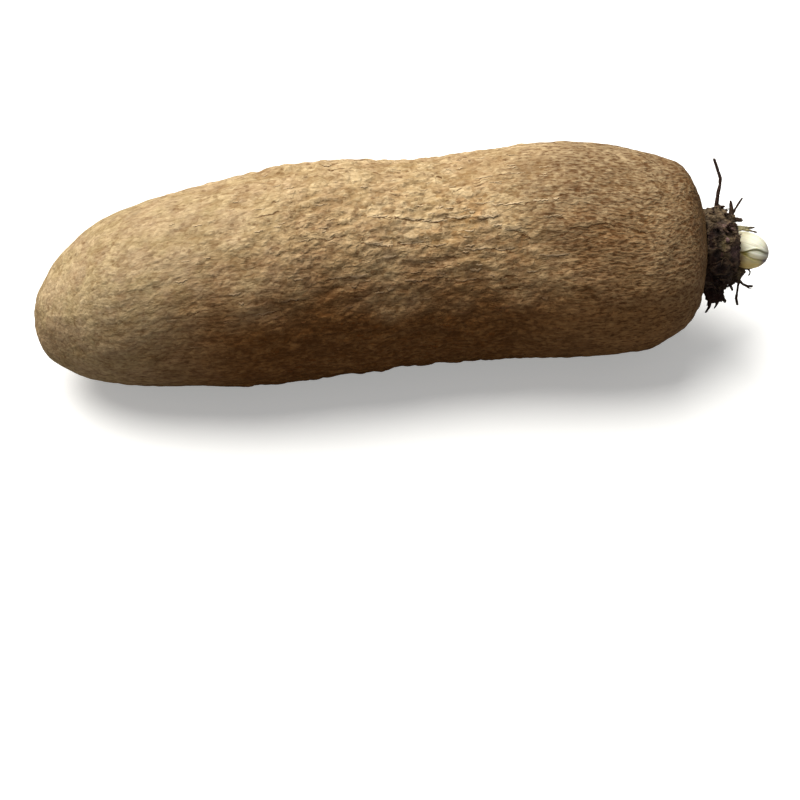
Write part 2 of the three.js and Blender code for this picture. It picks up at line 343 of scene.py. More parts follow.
def grain_group():
    """Lengthwise ridges and the thin grooves between them."""
    inputs = {"Length": 0.008, "Width": 0.001, "Groove": 0.05, "Detail": 1.5}
    group, desk, given, result = effect_group("Lengthwise Grain", inputs, ("Height", "Grooves"))
    if desk is None:
        return group
    place = stretched(desk, given["Coordinates"], given["Length"], given["Width"])
    ridges = desk.noise(place, 1.0, given["Detail"], 0.55)
    wander = desk.noise(place, 0.55, 2.0, 0.55)
    off_middle = desk.math("ABSOLUTE", desk.math("SUBTRACT", wander, 0.5))
    near = desk.math("SUBTRACT", 1.0, desk.rise(off_middle, 0.0, given["Groove"]))
    desk.feed(result["Height"], ridges)
    desk.feed(result["Grooves"], near)
    return group


def flake_group():
    """Thin scales of cork with a tone of their own and a dark edge."""
    inputs = {"Length": 0.009, "Width": 0.003, "Edge": 0.08}
    group, desk, given, result = effect_group("Cork Flakes", inputs, ("Tone", "Edges", "Height"))
    if desk is None:
        return group
    place = stretched(desk, given["Coordinates"], given["Length"], given["Width"])
    bend = desk.add("ShaderNodeTexNoise", {"Vector": place, "Scale": 1.3, "Detail": 3.0}).outputs["Color"]
    warped = desk.mix(0.35, place, bend, "LINEAR_LIGHT")
    cells = desk.add("ShaderNodeTexVoronoi", {"Vector": warped, "Scale": 1.0})
    border = desk.add("ShaderNodeTexVoronoi", {"Vector": warped, "Scale": 1.0}, feature="DISTANCE_TO_EDGE")
    tone = desk.parts(cells.outputs["Color"])[0]
    inside = desk.rise(border.outputs["Distance"], 0.0, given["Edge"])
    desk.feed(result["Tone"], tone)
    desk.feed(result["Edges"], desk.math("SUBTRACT", 1.0, inside))
    desk.feed(result["Height"], desk.times(inside, desk.scaled(tone, 0.6, 0.4)))
    return group


def mottle_group():
    """Soft patches of two sizes."""
    inputs = {"Size": 0.02, "Contrast": 0.3}
    group, desk, given, result = effect_group("Mottle", inputs, ("Patches", "Blotches"))
    if desk is None:
        return group
    place = stretched(desk, given["Coordinates"], given["Size"], given["Size"])
    low = desk.scaled(given["Contrast"], -0.5, 0.5)
    high = desk.scaled(given["Contrast"], 0.5, 0.5)
    desk.feed(result["Patches"], desk.rise(desk.noise(place, 1.0, 3.0, 0.55), low, high))
    desk.feed(result["Blotches"], desk.rise(desk.noise(place, 4.3, 4.0, 0.65), low, high))
    return group


def speckle_group():
    """Small dots at random."""
    group, desk, given, result = effect_group("Specks", {"Spacing": 0.003, "Size": 0.3}, ("Mask",))
    if desk is None:
        return group
    place = stretched(desk, given["Coordinates"], given["Spacing"], given["Spacing"])
    cells = desk.add("ShaderNodeTexVoronoi", {"Vector": place, "Scale": 1.0})
    reach = desk.times(desk.parts(cells.outputs["Color"])[1], given["Size"])
    gap = desk.math("SUBTRACT", reach, cells.outputs["Distance"])
    desk.feed(result["Mask"], desk.rise(gap, 0.0, 0.08))
    return group


def new_material(name, slot_roughness, specular):
    """A material with one Principled shader, and the desk that lays its other nodes."""
    material = bpy.data.materials.new(name)
    material.use_nodes = True
    shader = material.node_tree.nodes["Principled BSDF"]
    shader.inputs["Roughness"].default_value = slot_roughness
    shader.inputs["Specular IOR Level"].default_value = specular
    return material, shader, NodeDesk(material.node_tree)


def bump(desk, shader, height, millimetres):
    inputs = {"Height": height, "Distance": millimetres * MM}
    desk.feed(shader.inputs["Normal"], desk.add("ShaderNodeBump", inputs).outputs[0])


def finish(desk, shader, colour, roughness, height, millimetres):
    """Feeds a shader its colour, its roughness and a bump."""
    desk.feed(shader.inputs["Base Color"], colour)
    desk.feed(shader.inputs["Roughness"], roughness)
    bump(desk, shader, height, millimetres)


class CorkShading:
    """The nodes of the tuber's skin, from the mesh's marks to its colour and its relief."""

    def __init__(self, desk, skin):
        self.desk, self.skin = desk, skin
        self.low, self.gold, self.wrinkled = desk.masks("zones")
        self.split_offset, self.split_strength, self.scar = desk.masks("splits")
        self.relief, self.sandy, self.weathered = desk.masks("tones")
        self.rim = desk.masks("ends")[0]
        self.lay_textures()
        self.bold = desk.scaled(self.sandy, -0.35, 1.0)
        self.lumpy = desk.times(desk.scaled(self.wrinkled, -0.62, 1.0), self.bold)
        self.streaky = desk.scaled(desk.math("MAXIMUM", self.wrinkled, desk.times(self.low, 0.7)), 0.75, 0.25)
        # Dim weakens the painted highlights on the low sides, on the weathered skin and at the rim
        self.dim = desk.times(
            desk.scaled(self.low, -0.6, 1.0),
            desk.scaled(self.weathered, -0.5, 1.0),
            desk.scaled(self.rim, -0.6, 1.0),
        )
        # Painted shade for the hollows and painted highlight for the crests, both taking darker colours on
        # the low sides
        self.hollow_shade = desk.mix(self.low, skin.hollow_shade, skin.shadow)
        self.crest_highlight = desk.mix(self.low, skin.lip, skin.ember)

    def lay_textures(self):
        """Patches of three sizes, swellings, lumps, nubs, streaks, fine grain and two sorts of specks."""
        desk = self.desk
        grain = desk.attribute("grain")
        shifted = desk.vector("ADD", grain, (0.3, 0.1, 0.2))
        self.mottle = desk.place(mottle_group(), Coordinates=grain, Size=0.024, Contrast=0.34)
        self.tints = desk.place(mottle_group(), Coordinates=shifted, Size=0.013, Contrast=0.3)
        self.soft = desk.place(mottle_group(), Coordinates=shifted, Size=0.0075, Contrast=0.5)
        self.swells = desk.place(grain_group(), Coordinates=grain, Length=0.0105, Width=0.0068)
        self.lumps = desk.place(flake_group(), Coordinates=grain, Length=0.0056, Width=0.0042, Edge=0.42)
        self.nubs = desk.place(flake_group(), Coordinates=shifted, Length=0.0028, Width=0.0021, Edge=0.4)
        self.dashes = desk.place(grain_group(), Coordinates=grain, Length=0.0034, Width=0.0012, Detail=1.0)
        self.fine = desk.place(grain_group(), Coordinates=shifted, Length=0.0024, Width=0.0014)
        self.specks = desk.place(speckle_group(), Coordinates=grain, Spacing=0.0034, Size=0.42)
        self.flecks = desk.place(speckle_group(), Coordinates=shifted, Spacing=0.0046, Size=0.44)

    def ground(self):
        """The colour of the zones: dusty on top, darker low on the sides, partly soil stain and partly
        painted shade, weathered and brown towards the crown.
        """
        desk, skin = self.desk, self.skin
        tints, soft = self.tints["Patches"], self.soft["Patches"]
        colour = desk.coats(
            skin.dust,
            (self.sandy, skin.sand),
            (desk.times(self.gold, self.mottle["Patches"]), skin.gold),
            (desk.times(tints, 0.24), skin.rose),
            (desk.scaled(tints, -0.3, 0.3), skin.olive),
            (self.weathered, skin.grey),
            (self.low, skin.low_side_shade_and_stain),
            (desk.times(self.low, self.wrinkled, 0.2), skin.ember),
            (desk.times(self.rim, 0.85), skin.earth),
            (desk.times(self.low, soft, 0.16), skin.ember),
        )
        shade = desk.scaled(soft, 0.2, desk.scaled(self.mottle["Blotches"], 0.22, 0.78))
        shade_colour = desk.add("ShaderNodeCombineXYZ", {0: shade, 1: shade, 2: shade}).outputs[0]
        return desk.mix(1.0, colour, shade_colour, "MULTIPLY")

    def hollows(self, height):
        """The low places of a height, as a mask."""
        return self.desk.rise(height, 0.5, 0.25)

    def crests(self, height):
        """The high places of a height, as a mask."""
        return self.desk.rise(height, 0.48, 0.72)

    def cork(self, colour):
        """Lays painted shade in the hollows and painted highlights on the crests of the textures over a
        colour.
        """
        times, rise = self.desk.times, self.desk.rise
        bold, lumpy, streaky, dim = self.bold, self.lumpy, self.streaky, self.dim
        bright = self.desk.scaled(self.gold, 0.6, 0.7)
        soft_swells = times(bold, self.desk.scaled(self.wrinkled, -0.5, 1.0))
        swells, dashes, fine = self.swells["Height"], self.dashes["Height"], self.fine["Height"]
        return self.desk.coats(
            colour,
            (times(self.hollows(swells), 0.56, soft_swells), self.hollow_shade),
            (times(self.crests(swells), 0.42, soft_swells, bright, dim), self.crest_highlight),
            (times(self.lumps["Edges"], 0.36, lumpy), self.hollow_shade),
            (times(rise(self.lumps["Tone"], 0.55, 0.98), lumpy, bright, dim, 0.5), self.crest_highlight),
            (times(rise(self.lumps["Tone"], 0.35, 0.05), lumpy, 0.45), self.hollow_shade),
            (times(self.nubs["Edges"], 0.36, lumpy), self.hollow_shade),
            (times(rise(self.nubs["Tone"], 0.6, 0.95), bold, dim, 0.42), self.crest_highlight),
            (times(rise(dashes, 0.46, 0.36), 0.72, streaky), self.skin.shadow),
            (times(self.crests(dashes), 0.5, streaky, dim), self.crest_highlight),
            (times(self.hollows(fine), 0.3, bold), self.hollow_shade),
            (times(self.crests(fine), 0.24, bold, dim), self.crest_highlight),
            (times(self.specks["Mask"], 0.45, bold), self.skin.shadow),
            (times(self.flecks["Mask"], self.low, 0.14), self.skin.ember),
            (times(rise(self.relief, -0.1, -0.8), 0.4), self.hollow_shade),
        )

    def split_masks(self):
        """The frayed line of painted shade in each split, and the painted highlight on the lip above it."""
        desk = self.desk
        frayed = desk.scaled(desk.math("SUBTRACT", self.fine["Height"], 0.5), 2.6, self.split_offset)
        off_line = desk.rise(desk.math("ABSOLUTE", frayed), 0.05, 0.45)
        line = desk.times(desk.math("SUBTRACT", 1.0, off_line), desk.rise(self.split_strength, 0.05, 0.5))
        above_line = desk.times(desk.rise(frayed, 0.3, 0.8), desk.rise(frayed, 2.6, 1.0))
        return line, desk.times(above_line, self.split_strength, self.dim)

    def height(self, line, lip):
        """The height of the fine relief, for the bump."""
        times, scaled = self.desk.times, self.desk.scaled
        lumps = scaled(self.nubs["Height"], 0.2, times(self.lumps["Height"], 0.45))
        height = scaled(lumps, self.lumpy, self.swells["Height"])
        height = scaled(times(self.dashes["Height"], self.streaky), 0.75, height)
        height = times(scaled(self.fine["Height"], 0.18, height), self.bold)
        return scaled(lip, 0.15, scaled(line, -0.14, height))


def skin_material(skin):
    """Cork skin. The mesh gives its grain coordinates, its zones, its split lines and its marks."""
    material, shader, desk = new_material("yam_skin", 0.86, 0.1)
    cork = CorkShading(desk, skin)
    line, lip = cork.split_masks()
    # Painted highlight on the split lips, painted shade in the split lines, and the dark scar pits
    colour = desk.coats(
        cork.cork(cork.ground()),
        (desk.times(lip, 0.5), cork.crest_highlight),
        (desk.times(line, 0.8), skin.shadow),
        (desk.times(cork.scar, 0.75), skin.shadow),
    )
    roughness = desk.scaled(cork.fine["Height"], 0.2, 0.76)
    finish(desk, shader, colour, roughness, cork.height(line, lip), 1.3)
    return material


def flake_material(skin):
    """Loose cork: dusty with grey patches, darker on the tuber's low sides, a little paler on its lifted edge
    as a painted highlight, and dark on its underside as painted shade.
    """
    material, shader, desk = new_material("yam_flake", 0.84, 0.22)
    grain = desk.attribute("grain")
    low, edge, under = desk.masks("zones")
    fine = desk.place(grain_group(), Coordinates=grain, Length=0.0028, Width=0.0013)["Height"]
    mottle = desk.place(mottle_group(), Coordinates=grain, Size=0.006, Contrast=0.4)
    colour = desk.coats(
        skin.dust,
        (desk.times(mottle["Patches"], 0.4), skin.grey),
        (desk.times(edge, 0.22), skin.lip),
        (low, skin.low_side_shade_and_stain),
        (desk.times(desk.rise(fine, 0.52, 0.36), 0.4), skin.hollow_shade),
        (desk.times(under, 0.8), skin.shadow),
    )
    finish(desk, shader, colour, desk.scaled(fine, 0.2, 0.74), fine, 0.4)
    return material


def bark_material(crown):
    """Dark bark: dry ridges on top, painted highlights on its raised parts that grow brighter higher up,
    purple-grey and olive lumps in front, and painted shade, nearly black, in its folds and grooves.
    """
    material, shader, desk = new_material("root_bark", 0.8, 0.3)
    grain = desk.attribute("grain")
    shifted = desk.vector("ADD", grain, (0.3, 0.1, 0.2))
    dry, ridge_highlight, bloom = desk.masks("zones")
    straw, tip, moss = desk.masks("growth")
    deep = desk.masks("folds")[0]
    fibres = desk.place(grain_group(), Coordinates=grain, Length=0.005, Width=0.0009, Groove=0.06)
    mottle = desk.place(mottle_group(), Coordinates=grain, Size=0.005, Contrast=0.36)
    patches = desk.place(mottle_group(), Coordinates=shifted, Size=0.006, Contrast=0.3)
    flakes = desk.place(flake_group(), Coordinates=grain, Length=0.003, Width=0.0016, Edge=0.12)
    specks = desk.place(speckle_group(), Coordinates=grain, Spacing=0.0024, Size=0.34)
    # Painted shade: the bark at a quarter of its brightness, for the folds and the grooves
    black = tuple(0.25 * channel for channel in crown.bark)
    colour = desk.coats(
        crown.bark,
        (desk.times(dry, desk.rise(fibres["Height"], 0.3, 0.55)), crown.weathered),
        (desk.times(moss, desk.scaled(patches["Patches"], 0.6, 0.4)), crown.moss),
        (desk.times(bloom, desk.scaled(mottle["Patches"], 0.5, 0.5)), crown.bloom),
        (desk.times(ridge_highlight, desk.scaled(flakes["Tone"], 0.6, 0.1)), crown.weathered),
        (desk.times(specks["Mask"], 0.4), crown.weathered),
        (desk.times(deep, 0.75), black),
        (straw, crown.straw),
        (desk.times(tip, 0.85), crown.bark),
        (desk.times(fibres["Grooves"], 0.6), black),
    )
    height = desk.scaled(flakes["Height"], 0.4, fibres["Height"])
    finish(desk, shader, colour, desk.scaled(mottle["Blotches"], 0.3, 0.6), height, 0.7)
    return material


def fibre_material(crown):
    """Dry root fibres and scale shreds, from nearly black to straw."""
    material, shader, desk = new_material("root_fibre", 0.78, 0.3)
    grain = desk.attribute("grain")
    straw, tone, bloom = desk.masks("zones")
    fibres = desk.place(grain_group(), Coordinates=grain, Length=0.004, Width=0.0004)["Height"]
    mottle = desk.place(mottle_group(), Coordinates=grain, Size=0.004, Contrast=0.36)
    colour = desk.coats(
        crown.bark,
        (desk.times(tone, mottle["Blotches"]), crown.weathered),
        (desk.times(straw, 0.9), crown.straw),
        (desk.times(desk.rise(fibres, 0.52, 0.38), 0.6), crown.bark),
        (desk.times(bloom, mottle["Patches"]), crown.bloom),
    )
    finish(desk, shader, colour, desk.scaled(mottle["Patches"], 0.2, 0.66), fibres, 0.3)
    return material


def bud_material(bud):
    """Waxy bud scales: cream, green-yellow in the folds, red-brown at the foot, grey-purple at the tip."""
    material, shader, desk = new_material("bud_scale", 0.42, 0.45)
    grain = desk.attribute("grain")
    fold, tip, foot = desk.masks("zones")
    under = desk.masks("sides")[0]
    veins = desk.place(grain_group(), Coordinates=grain, Length=0.012, Width=0.0007)["Height"]
    mottle = desk.place(mottle_group(), Coordinates=grain, Size=0.006, Contrast=0.4)
    specks = desk.place(speckle_group(), Coordinates=grain, Spacing=0.0016, Size=0.25)
    colour = desk.coats(
        bud.cream,
        (desk.times(desk.rise(veins, 0.5, 0.36), 0.22), bud.fold),
        (desk.times(under, 0.85), bud.husk),
        (fold, bud.fold),
        (tip, bud.tip),
        (desk.times(foot, desk.rise(mottle["Patches"], -0.4, 0.9)), bud.blush),
        (desk.times(specks["Mask"], 0.25), bud.blush),
    )
    finish(desk, shader, colour, desk.scaled(mottle["Blotches"], 0.18, 0.34), veins, 0.12)
    shader.inputs["Subsurface Weight"].default_value = 0.15
    shader.inputs["Subsurface Scale"].default_value = 0.002
    shader.inputs["Subsurface Radius"].default_value = (1.0, 0.7, 0.4)
    return material


def floor_material(stage):
    """A pale floor with a faint cloudiness, lit a little from within so that its shadows stay light."""
    material, shader, desk = new_material("pale_floor", 0.8, 0.2)
    seen = desk.add("ShaderNodeLightPath").outputs["Is Camera Ray"]
    place = desk.add("ShaderNodeTexCoord").outputs["Object"]
    cloud = desk.rise(desk.noise(place, 3.0, 3.0), 0.3, 0.7)
    unseen, dimmer = (tuple(share * channel for channel in stage.floor) for share in (0.36, 0.985))
    pale = desk.mix(cloud, dimmer, stage.floor)
    desk.feed(shader.inputs["Base Color"], desk.mix(seen, unseen, pale))
    shader.inputs["Emission Color"].default_value = (*stage.floor, 1)
    desk.feed(shader.inputs["Emission Strength"], desk.times(seen, stage.floor_glow))
    bump(desk, shader, desk.noise(place, 900.0, 2.0), 0.02)
    return material


# Meshes


def ring_faces(rings, spokes):
    """The faces of a closed skin: rings of spokes points, then the first pole and the last pole."""
    first, last = rings * spokes, rings * spokes + 1
    faces = []
    for ring in range(rings - 1):
        here, there = ring * spokes, (ring + 1) * spokes
        for spoke in range(spokes):
            after = (spoke + 1) % spokes
            faces.append((here + spoke, there + spoke, there + after, here + after))
    end = (rings - 1) * spokes
    for spoke in range(spokes):
        after = (spoke + 1) % spokes
        faces.append((first, spoke, after))
        faces.append((end + spoke, last, end + after))
    return faces


def add_piece(name, points, faces, marks, material, slot, *nodes):
    """Makes a piece from points in millimetres, with vector attributes, and ties it to the frame."""
    mesh = bpy.data.meshes.new(name)
    mesh.from_pydata((np.asarray(points) * MM).tolist(), [], faces)
    mesh.shade_smooth()
    for label, values in marks.items():
        layer = mesh.attributes.new(label, "FLOAT_VECTOR", "POINT")
        layer.data.foreach_set("vector", np.asarray(values, dtype=np.float32).ravel())
    mesh.materials.append(material)
    piece = bpy.data.objects.new(name, mesh)
    bpy.context.scene.collection.objects.link(piece)
    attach(piece, "root")
    if nodes:
        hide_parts(*nodes)
    return piece


def solid_tree(node):
    """A ray-casting tree of a solid, in millimetres."""
    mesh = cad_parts[node].data
    points = [v.co / MM for v in mesh.vertices]
    return BVHTree.FromPolygons(points, [tuple(p.vertices) for p in mesh.polygons])


def bumps(points, length, width, shift=0.0):
    """Smooth noise from -1 to 1 at points, with bumps of a length along X and a width across."""
    size = np.array((length, width, width))
    return np.array([noise.noise(p) for p in (points / size + shift).tolist()])


def smooth_rise(value, low, high):
    """Goes smoothly from 0 at low to 1 at high. Where low is above high, it falls as the value grows."""
    share = np.clip((value - low) / (high - low), 0, 1)
    return share * share * (3 - 2 * share)


def bell(value, middle, width):
    """A bell curve that is 1 at its middle and about a third at a width away from it."""
    return np.exp(-(((value - middle) / width) ** 2))


def wrapped(turn):
    """The same turn, between half a circle back and half a circle on."""
    return (turn + math.pi) % (2 * math.pi) - math.pi


def triple(*values):
    """Up to three arrays as the parts of one array of vectors. Missing parts are 0."""
    missing = [0 * values[0]] * (3 - len(values))
    return np.stack((*values, *missing), axis=-1)


def scatter(rng):
    """A vector whose three parts are drawn from -1 to 1."""
    return Vector([rng.uniform(-1, 1) for _ in range(3)])


def blurred(grid, along, round_it):
    """Averages a grid with its neighbours, so many times along it and so many times round it."""
    for _ in range(along):
        padded = np.concatenate((grid[:1], grid, grid[-1:]))
        grid = 0.25 * padded[:-2] + 0.5 * grid + 0.25 * padded[2:]
    for _ in range(round_it):
        grid = 0.25 * np.roll(grid, 1, axis=1) + 0.5 * grid + 0.25 * np.roll(grid, -1, axis=1)
    return grid


def unit(vectors):
    """The vectors with their lengths brought to 1."""
    return vectors / np.linalg.norm(vectors, axis=-1, keepdims=True)


class TuberSkin:
    """The tuber's skin as a fine grid: rings from the young tip to the crown, spokes round it.

    Rays from the tuber's middle line find its surface. Near both ends they fan out from one point.
    """

    RINGS = 250
    SPOKES = 380

    # The middle line is a curve of this degree through so many stations
    STATIONS = 24
    AXIS_DEGREE = 4

    # How far from each end the rays start to fan, and the tuber's usual radius, in millimetres
    TIP_FAN = 45.0
    CROWN_FAN = 36.0
    GIRTH = 52.0

    def __init__(self):
        self.tree = solid_tree("tuber")
        low, high = (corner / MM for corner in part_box("tuber"))
        self.tip = low.x
        self.middle = ((low.y + high.y) / 2, (low.z + high.z) / 2)
        self.start = low.x + self.TIP_FAN
        self.stop = high.x - self.CROWN_FAN
        self.angles = -math.pi + 2 * math.pi * np.arange(self.SPOKES) / self.SPOKES
        self.find_axis()
        self.lay_rings()

    def find_axis(self):
        """Curves for the tuber's middle side and middle height, from stations along it."""
        stations = np.linspace(self.start, self.stop, self.STATIONS)
        ways = [Vector(way) for way in ((0, 1, 0), (0, -1, 0), (0, 0, 1), (0, 0, -1))]
        middles = []
        for x in stations:
            back, front, top, foot = (self.tree.ray_cast(Vector((x, *self.middle)), way)[0] for way in ways)
            middles.append(((back.y + front.y) / 2, (top.z + foot.z) / 2))
        share = (stations - self.start) / (self.stop - self.start)
        curves = [np.polyfit(share, values, self.AXIS_DEGREE) for values in zip(*middles)]
        self.side_curve, self.height_curve = curves

    def ray(self, travel, angle):
        """Where a ray starts and points for a travel from 0 at the tip to 3 at the crown."""
        x = self.start + (self.stop - self.start) * min(max(travel - 1, 0), 1)
        share = (x - self.start) / (self.stop - self.start)
        origin = Vector((x, np.polyval(self.side_curve, share), np.polyval(self.height_curve, share)))
        fan = math.pi / 2 * (2 - min(travel, 1) - max(travel - 2, 0))
        across = math.sin(fan)
        return origin, Vector((math.cos(fan), across * math.sin(angle), across * math.cos(angle)))

    def reach(self, travel, angle):
        """How far the surface is along a ray."""
        origin, way = self.ray(travel, angle)
        return (self.tree.ray_cast(origin, way)[0] - origin).length

    def even_travels(self):
        """Where the rings lie: their runs along the skin, wider apart near the tip, and their travels."""
        tries = np.linspace(0, 3, 400)
        outline = []
        for travel in tries:
            origin, way = self.ray(travel, 0.0)
            mean = sum(self.reach(travel, angle) for angle in (0.5, 1.6, -1.6, -0.5)) / 4
            outline.append((origin.x + mean * way.x, mean * way.z))
        steps = np.linalg.norm(np.diff(np.array(outline), axis=0), axis=1)
        run = np.concatenate(((0,), np.cumsum(steps)))
        density = 0.6 + 0.4 * smooth_rise(run, 90.0, 170.0)
        share = np.concatenate(((0,), np.cumsum(0.5 * (density[1:] + density[:-1]) * np.diff(run))))
        wanted = np.interp(np.linspace(0, share[-1], self.RINGS + 2), share, run)
        return wanted, np.interp(wanted, run, tries)

    def lay_rings(self):
        """The smooth base of the skin, its normals and its grain coordinates."""
        runs, travels = self.even_travels()
        reaches = np.array([[self.reach(t, a) for a in self.angles] for t in travels[1:-1]])
        reaches = blurred(reaches, 4, 14)
        rays = [[self.ray(t, a) for a in self.angles] for t in travels[1:-1]]
        origins = np.array([[tuple(r[0]) for r in row] for row in rays])
        ways = np.array([[tuple(r[1]) for r in row] for row in rays])
        self.base = origins + reaches[..., None] * ways
        self.poles = []
        for travel in (0.0, 3.0):
            origin, way = self.ray(travel, 0.0)
            self.poles.append(np.array(origin + self.reach(travel, 0.0) * way))
        self.runs = runs[1:-1]
        self.away = np.linalg.norm((self.base - origins)[..., 1:], axis=-1)
        self.normals = self.grid_normals(self.base)
        run = self.runs[:, None] + 0 * reaches
        self.turn = self.angles[None, :] + 0 * reaches
        self.from_tip = self.base[..., 0] - self.tip
        shoulder = smooth_rise(self.from_tip, 270.0, 315.0)
        nose = 1 - smooth_rise(self.from_tip, 10.0, 75.0)
        girth = self.GIRTH + (self.away - self.GIRTH) * np.maximum(shoulder, nose)
        self.grain = triple(run, girth * np.cos(self.turn), girth * np.sin(self.turn))

    def grid_normals(self, grid):
        """The outward normals of a grid that ends in the two poles."""
        first, last = (np.broadcast_to(pole, grid[:1].shape) for pole in self.poles)
        whole = np.concatenate((first, grid, last))
        along = whole[2:] - whole[:-2]
        across = np.roll(grid, -1, axis=1) - np.roll(grid, 1, axis=1)
        return unit(np.cross(along, across))

    def field(self, length, width, shift=0.0):
        """Smooth noise over the skin, with bumps of a length along the grain and a width across."""
        points = self.grain.reshape(-1, 3)
        return bumps(points, length, width, shift).reshape(self.turn.shape)

    def split_marks(self, splits):
        """How far each point is across from its nearest split, and how strong that split is there."""
        offset = np.full(self.turn.shape, 9.0)
        strength = np.zeros(self.turn.shape)
        for split in splits:
            along = self.from_tip - split["place"]
            taper = 1 - (2 * along / split["length"]) ** 2
            window = (taper > 0) & (self.base[..., 0] > self.start - 30)
            wave = split["wave"] * np.sin(along / split["period"] + split["phase"])
            wave = wave + 0.4 * split["wave"] * np.sin(2.7 * along / split["period"] - split["phase"])
            line = split["turn"] + (split["lean"] * along + wave) / self.GIRTH
            gap = wrapped(self.turn - line) * self.away * split["lip_side"]
            power = np.sqrt(np.clip(taper, 0, 1)) * split["strength"]
            nearer = window & (np.abs(gap) < np.minimum(np.abs(offset), 3.6))
            offset = np.where(nearer, gap, offset)
            strength = np.where(nearer, power, strength)
        breaks = smooth_rise(self.field(5, 30, 41.0), -0.3, 0.05)
        return np.clip(offset, -4, 4), strength * (0.3 + 0.7 * breaks)

    def build(self, skin):
        """Finds the marks and the zones, and moves the base out and in by its relief."""
        rng = random.Random(SEED)
        self.splits = main_splits() + small_splits(rng, skin.split_count)
        self.offset, self.strength = self.split_marks(self.splits)
        scars, self.pits = self.scars(rng, skin.scar_count)
        self.zones_of_colour()
        self.relief = self.lumps_and_splits(skin) + scars
        seated = smooth_rise(self.runs[-1] - self.runs, 14.0, 26.0)[:, None]
        flat = smooth_rise(self.base[..., 2], 0.2, 4.0)
        shift = self.relief * seated * (0.25 + 0.75 * flat)
        self.skin = self.base + shift[..., None] * self.normals
        self.skin[..., 2] = np.maximum(self.skin[..., 2], 0.0)

    def lumps_and_splits(self, skin):
        """How far lumps, ripples, knobs and the lips of splits stand out, in millimetres."""
        lump, ripple = skin.lump_height / MM, skin.ripple_height / MM
        relief = lump * self.field(44, 26) + 0.75 * lump * self.field(15, 11, 31.7)
        relief = relief + ripple * (self.field(15, 4.2, 5.3) + 0.7 * self.field(8, 2.4, 9.1))
        relief = relief + 0.5 * ripple * (0.3 + self.wrinkled) * self.field(4.2, 1.9, 17.9)
        knobs = 1.5 * np.abs(self.field(11, 7.5, 3.3)) + 1.3 * np.abs(self.field(6.2, 4.4, 23.9)) - 0.6
        relief = relief + (1 - 0.75 * self.wrinkled) * (1 - 0.6 * self.sandy) * (1 + 0.3 * self.gold) * knobs
        relief = relief * (1 - 0.35 * self.sandy)
        above = smooth_rise(self.offset, 0.1, 0.9) * np.exp(-np.clip(self.offset, 0, None) / 2.2)
        relief = relief - skin.split_depth / MM * bell(self.offset, 0, 0.75) * self.strength
        return relief + skin.lip_height / MM * above * self.strength

    def scars(self, rng, count):
        """Small warts where rootlets grew, each with a dark pit, and the main swellings."""
        raised = np.zeros(self.turn.shape)
        pits = np.zeros(self.turn.shape)
        for place, degrees, length, width in MAIN_SWELLINGS:
            gap = (self.turn - math.radians(degrees)) * self.away
            raised = raised + 0.9 * bell(self.from_tip, place, length) * bell(gap, 0, width)
        places = list(MAIN_SCARS)
        while len(places) < count:
            places.append((rng.uniform(30, 322), rng.uniform(-180, 180), rng.uniform(1.0, 2.0)))
        for place, degrees, size in places:
            along = (self.from_tip - place) / 1.25
            away = np.hypot(along, wrapped(self.turn - math.radians(degrees)) * self.away)
            raised = raised + 0.32 * bell(away, size, 0.55 * size) - 0.45 * bell(away, 0, 0.6 * size)
            pits = np.maximum(pits, bell(away, 0, 0.7 * size) * min(1, size / 2))
        return raised, pits

    def zones_of_colour(self):
        """Masks from 0 to 1 for the skin's colours, by place and by soft noise."""
        place, turn = self.from_tip, self.turn
        drift = 0.22 * self.field(60, 40, 2.2) + 0.1 * self.field(14, 8, 6.6)
        middle = bell(place, 212, 46) * bell(turn, -0.45, 0.75)
        young = 1 - smooth_rise(place, 15, 110)
        self.sandy = 1 - smooth_rise(place + 60 * drift, 55, 150)
        self.rim = smooth_rise(place + 10 * drift, 300, 334)
        self.wrinkled = smooth_rise(place + 40 * drift, 215, 275)
        self.gold = np.clip(1.25 * middle + 0.9 * drift, 0, 1)

        # How far down the side a point is, as a share of half a turn, on the front and on the back
        side = np.maximum(-turn - 0.12, turn - 0.6) / math.pi + 0.5 * drift - 0.06 * self.sandy
        side = side + 0.07 * smooth_rise(place, 60, 100) * smooth_rise(place, 175, 140)
        side = side - 0.06 * bell(place, 172, 20) * smooth_rise(side, 0.42, 0.26)
        aged = smooth_rise(place + 60 * drift, 218, 280)
        shaded = smooth_rise(side, 0.06 + 0.06 * middle, 0.43) * (1 - 0.12 * aged) * (1 - 0.74 * young)
        back = smooth_rise(turn, 0.15, 1.3) * smooth_rise(turn, 3.1, 2.2)
        # The low mask darkens the low sides, partly as soil stain and partly as painted shade, less on the
        # back and at the rim
        self.low = shaded * (1 - 0.5 * back) * (1 - 0.5 * self.rim)

        aged = aged * (1 - 0.6 * smooth_rise(side, 0.15, 0.45))
        grey = bell(place, 266, 26) * bell(turn, -0.35, 0.5)
        grey = grey + 0.9 * bell(place, 243, 13) * bell(turn, -0.02, 0.4)
        grey = grey + 0.4 * smooth_rise(place, 285, 312) * smooth_rise(side, 0.25, 0.1)
        self.weathered = np.clip(0.76 * aged + 0.68 * grey + 0.5 * drift, 0, 1)

    def add(self, skin):
        """Builds the skin and makes its piece. Each pole takes the mean marks of the ring beside it."""
        self.build(skin)
        count = self.turn.size

        def with_poles(values):
            flat = np.asarray(values).reshape(count, -1)
            ends = [flat[:self.SPOKES].mean(axis=0), flat[-self.SPOKES:].mean(axis=0)]
            return np.concatenate((flat, ends))

        points = np.concatenate((self.skin.reshape(-1, 3), self.poles))
        marks = {
            "grain": with_poles(self.grain * MM),
            "zones": with_poles(triple(self.low, self.gold, self.wrinkled)),
            "splits": with_poles(triple(self.offset, self.strength, self.pits)),
            "tones": with_poles(triple(self.relief, self.sandy, self.weathered)),
            "ends": with_poles(triple(self.rim)),
        }
        faces = ring_faces(self.RINGS, self.SPOKES)
        return add_piece("tuber_skin", points, faces, marks, skin_material(skin), "skin", "tuber")

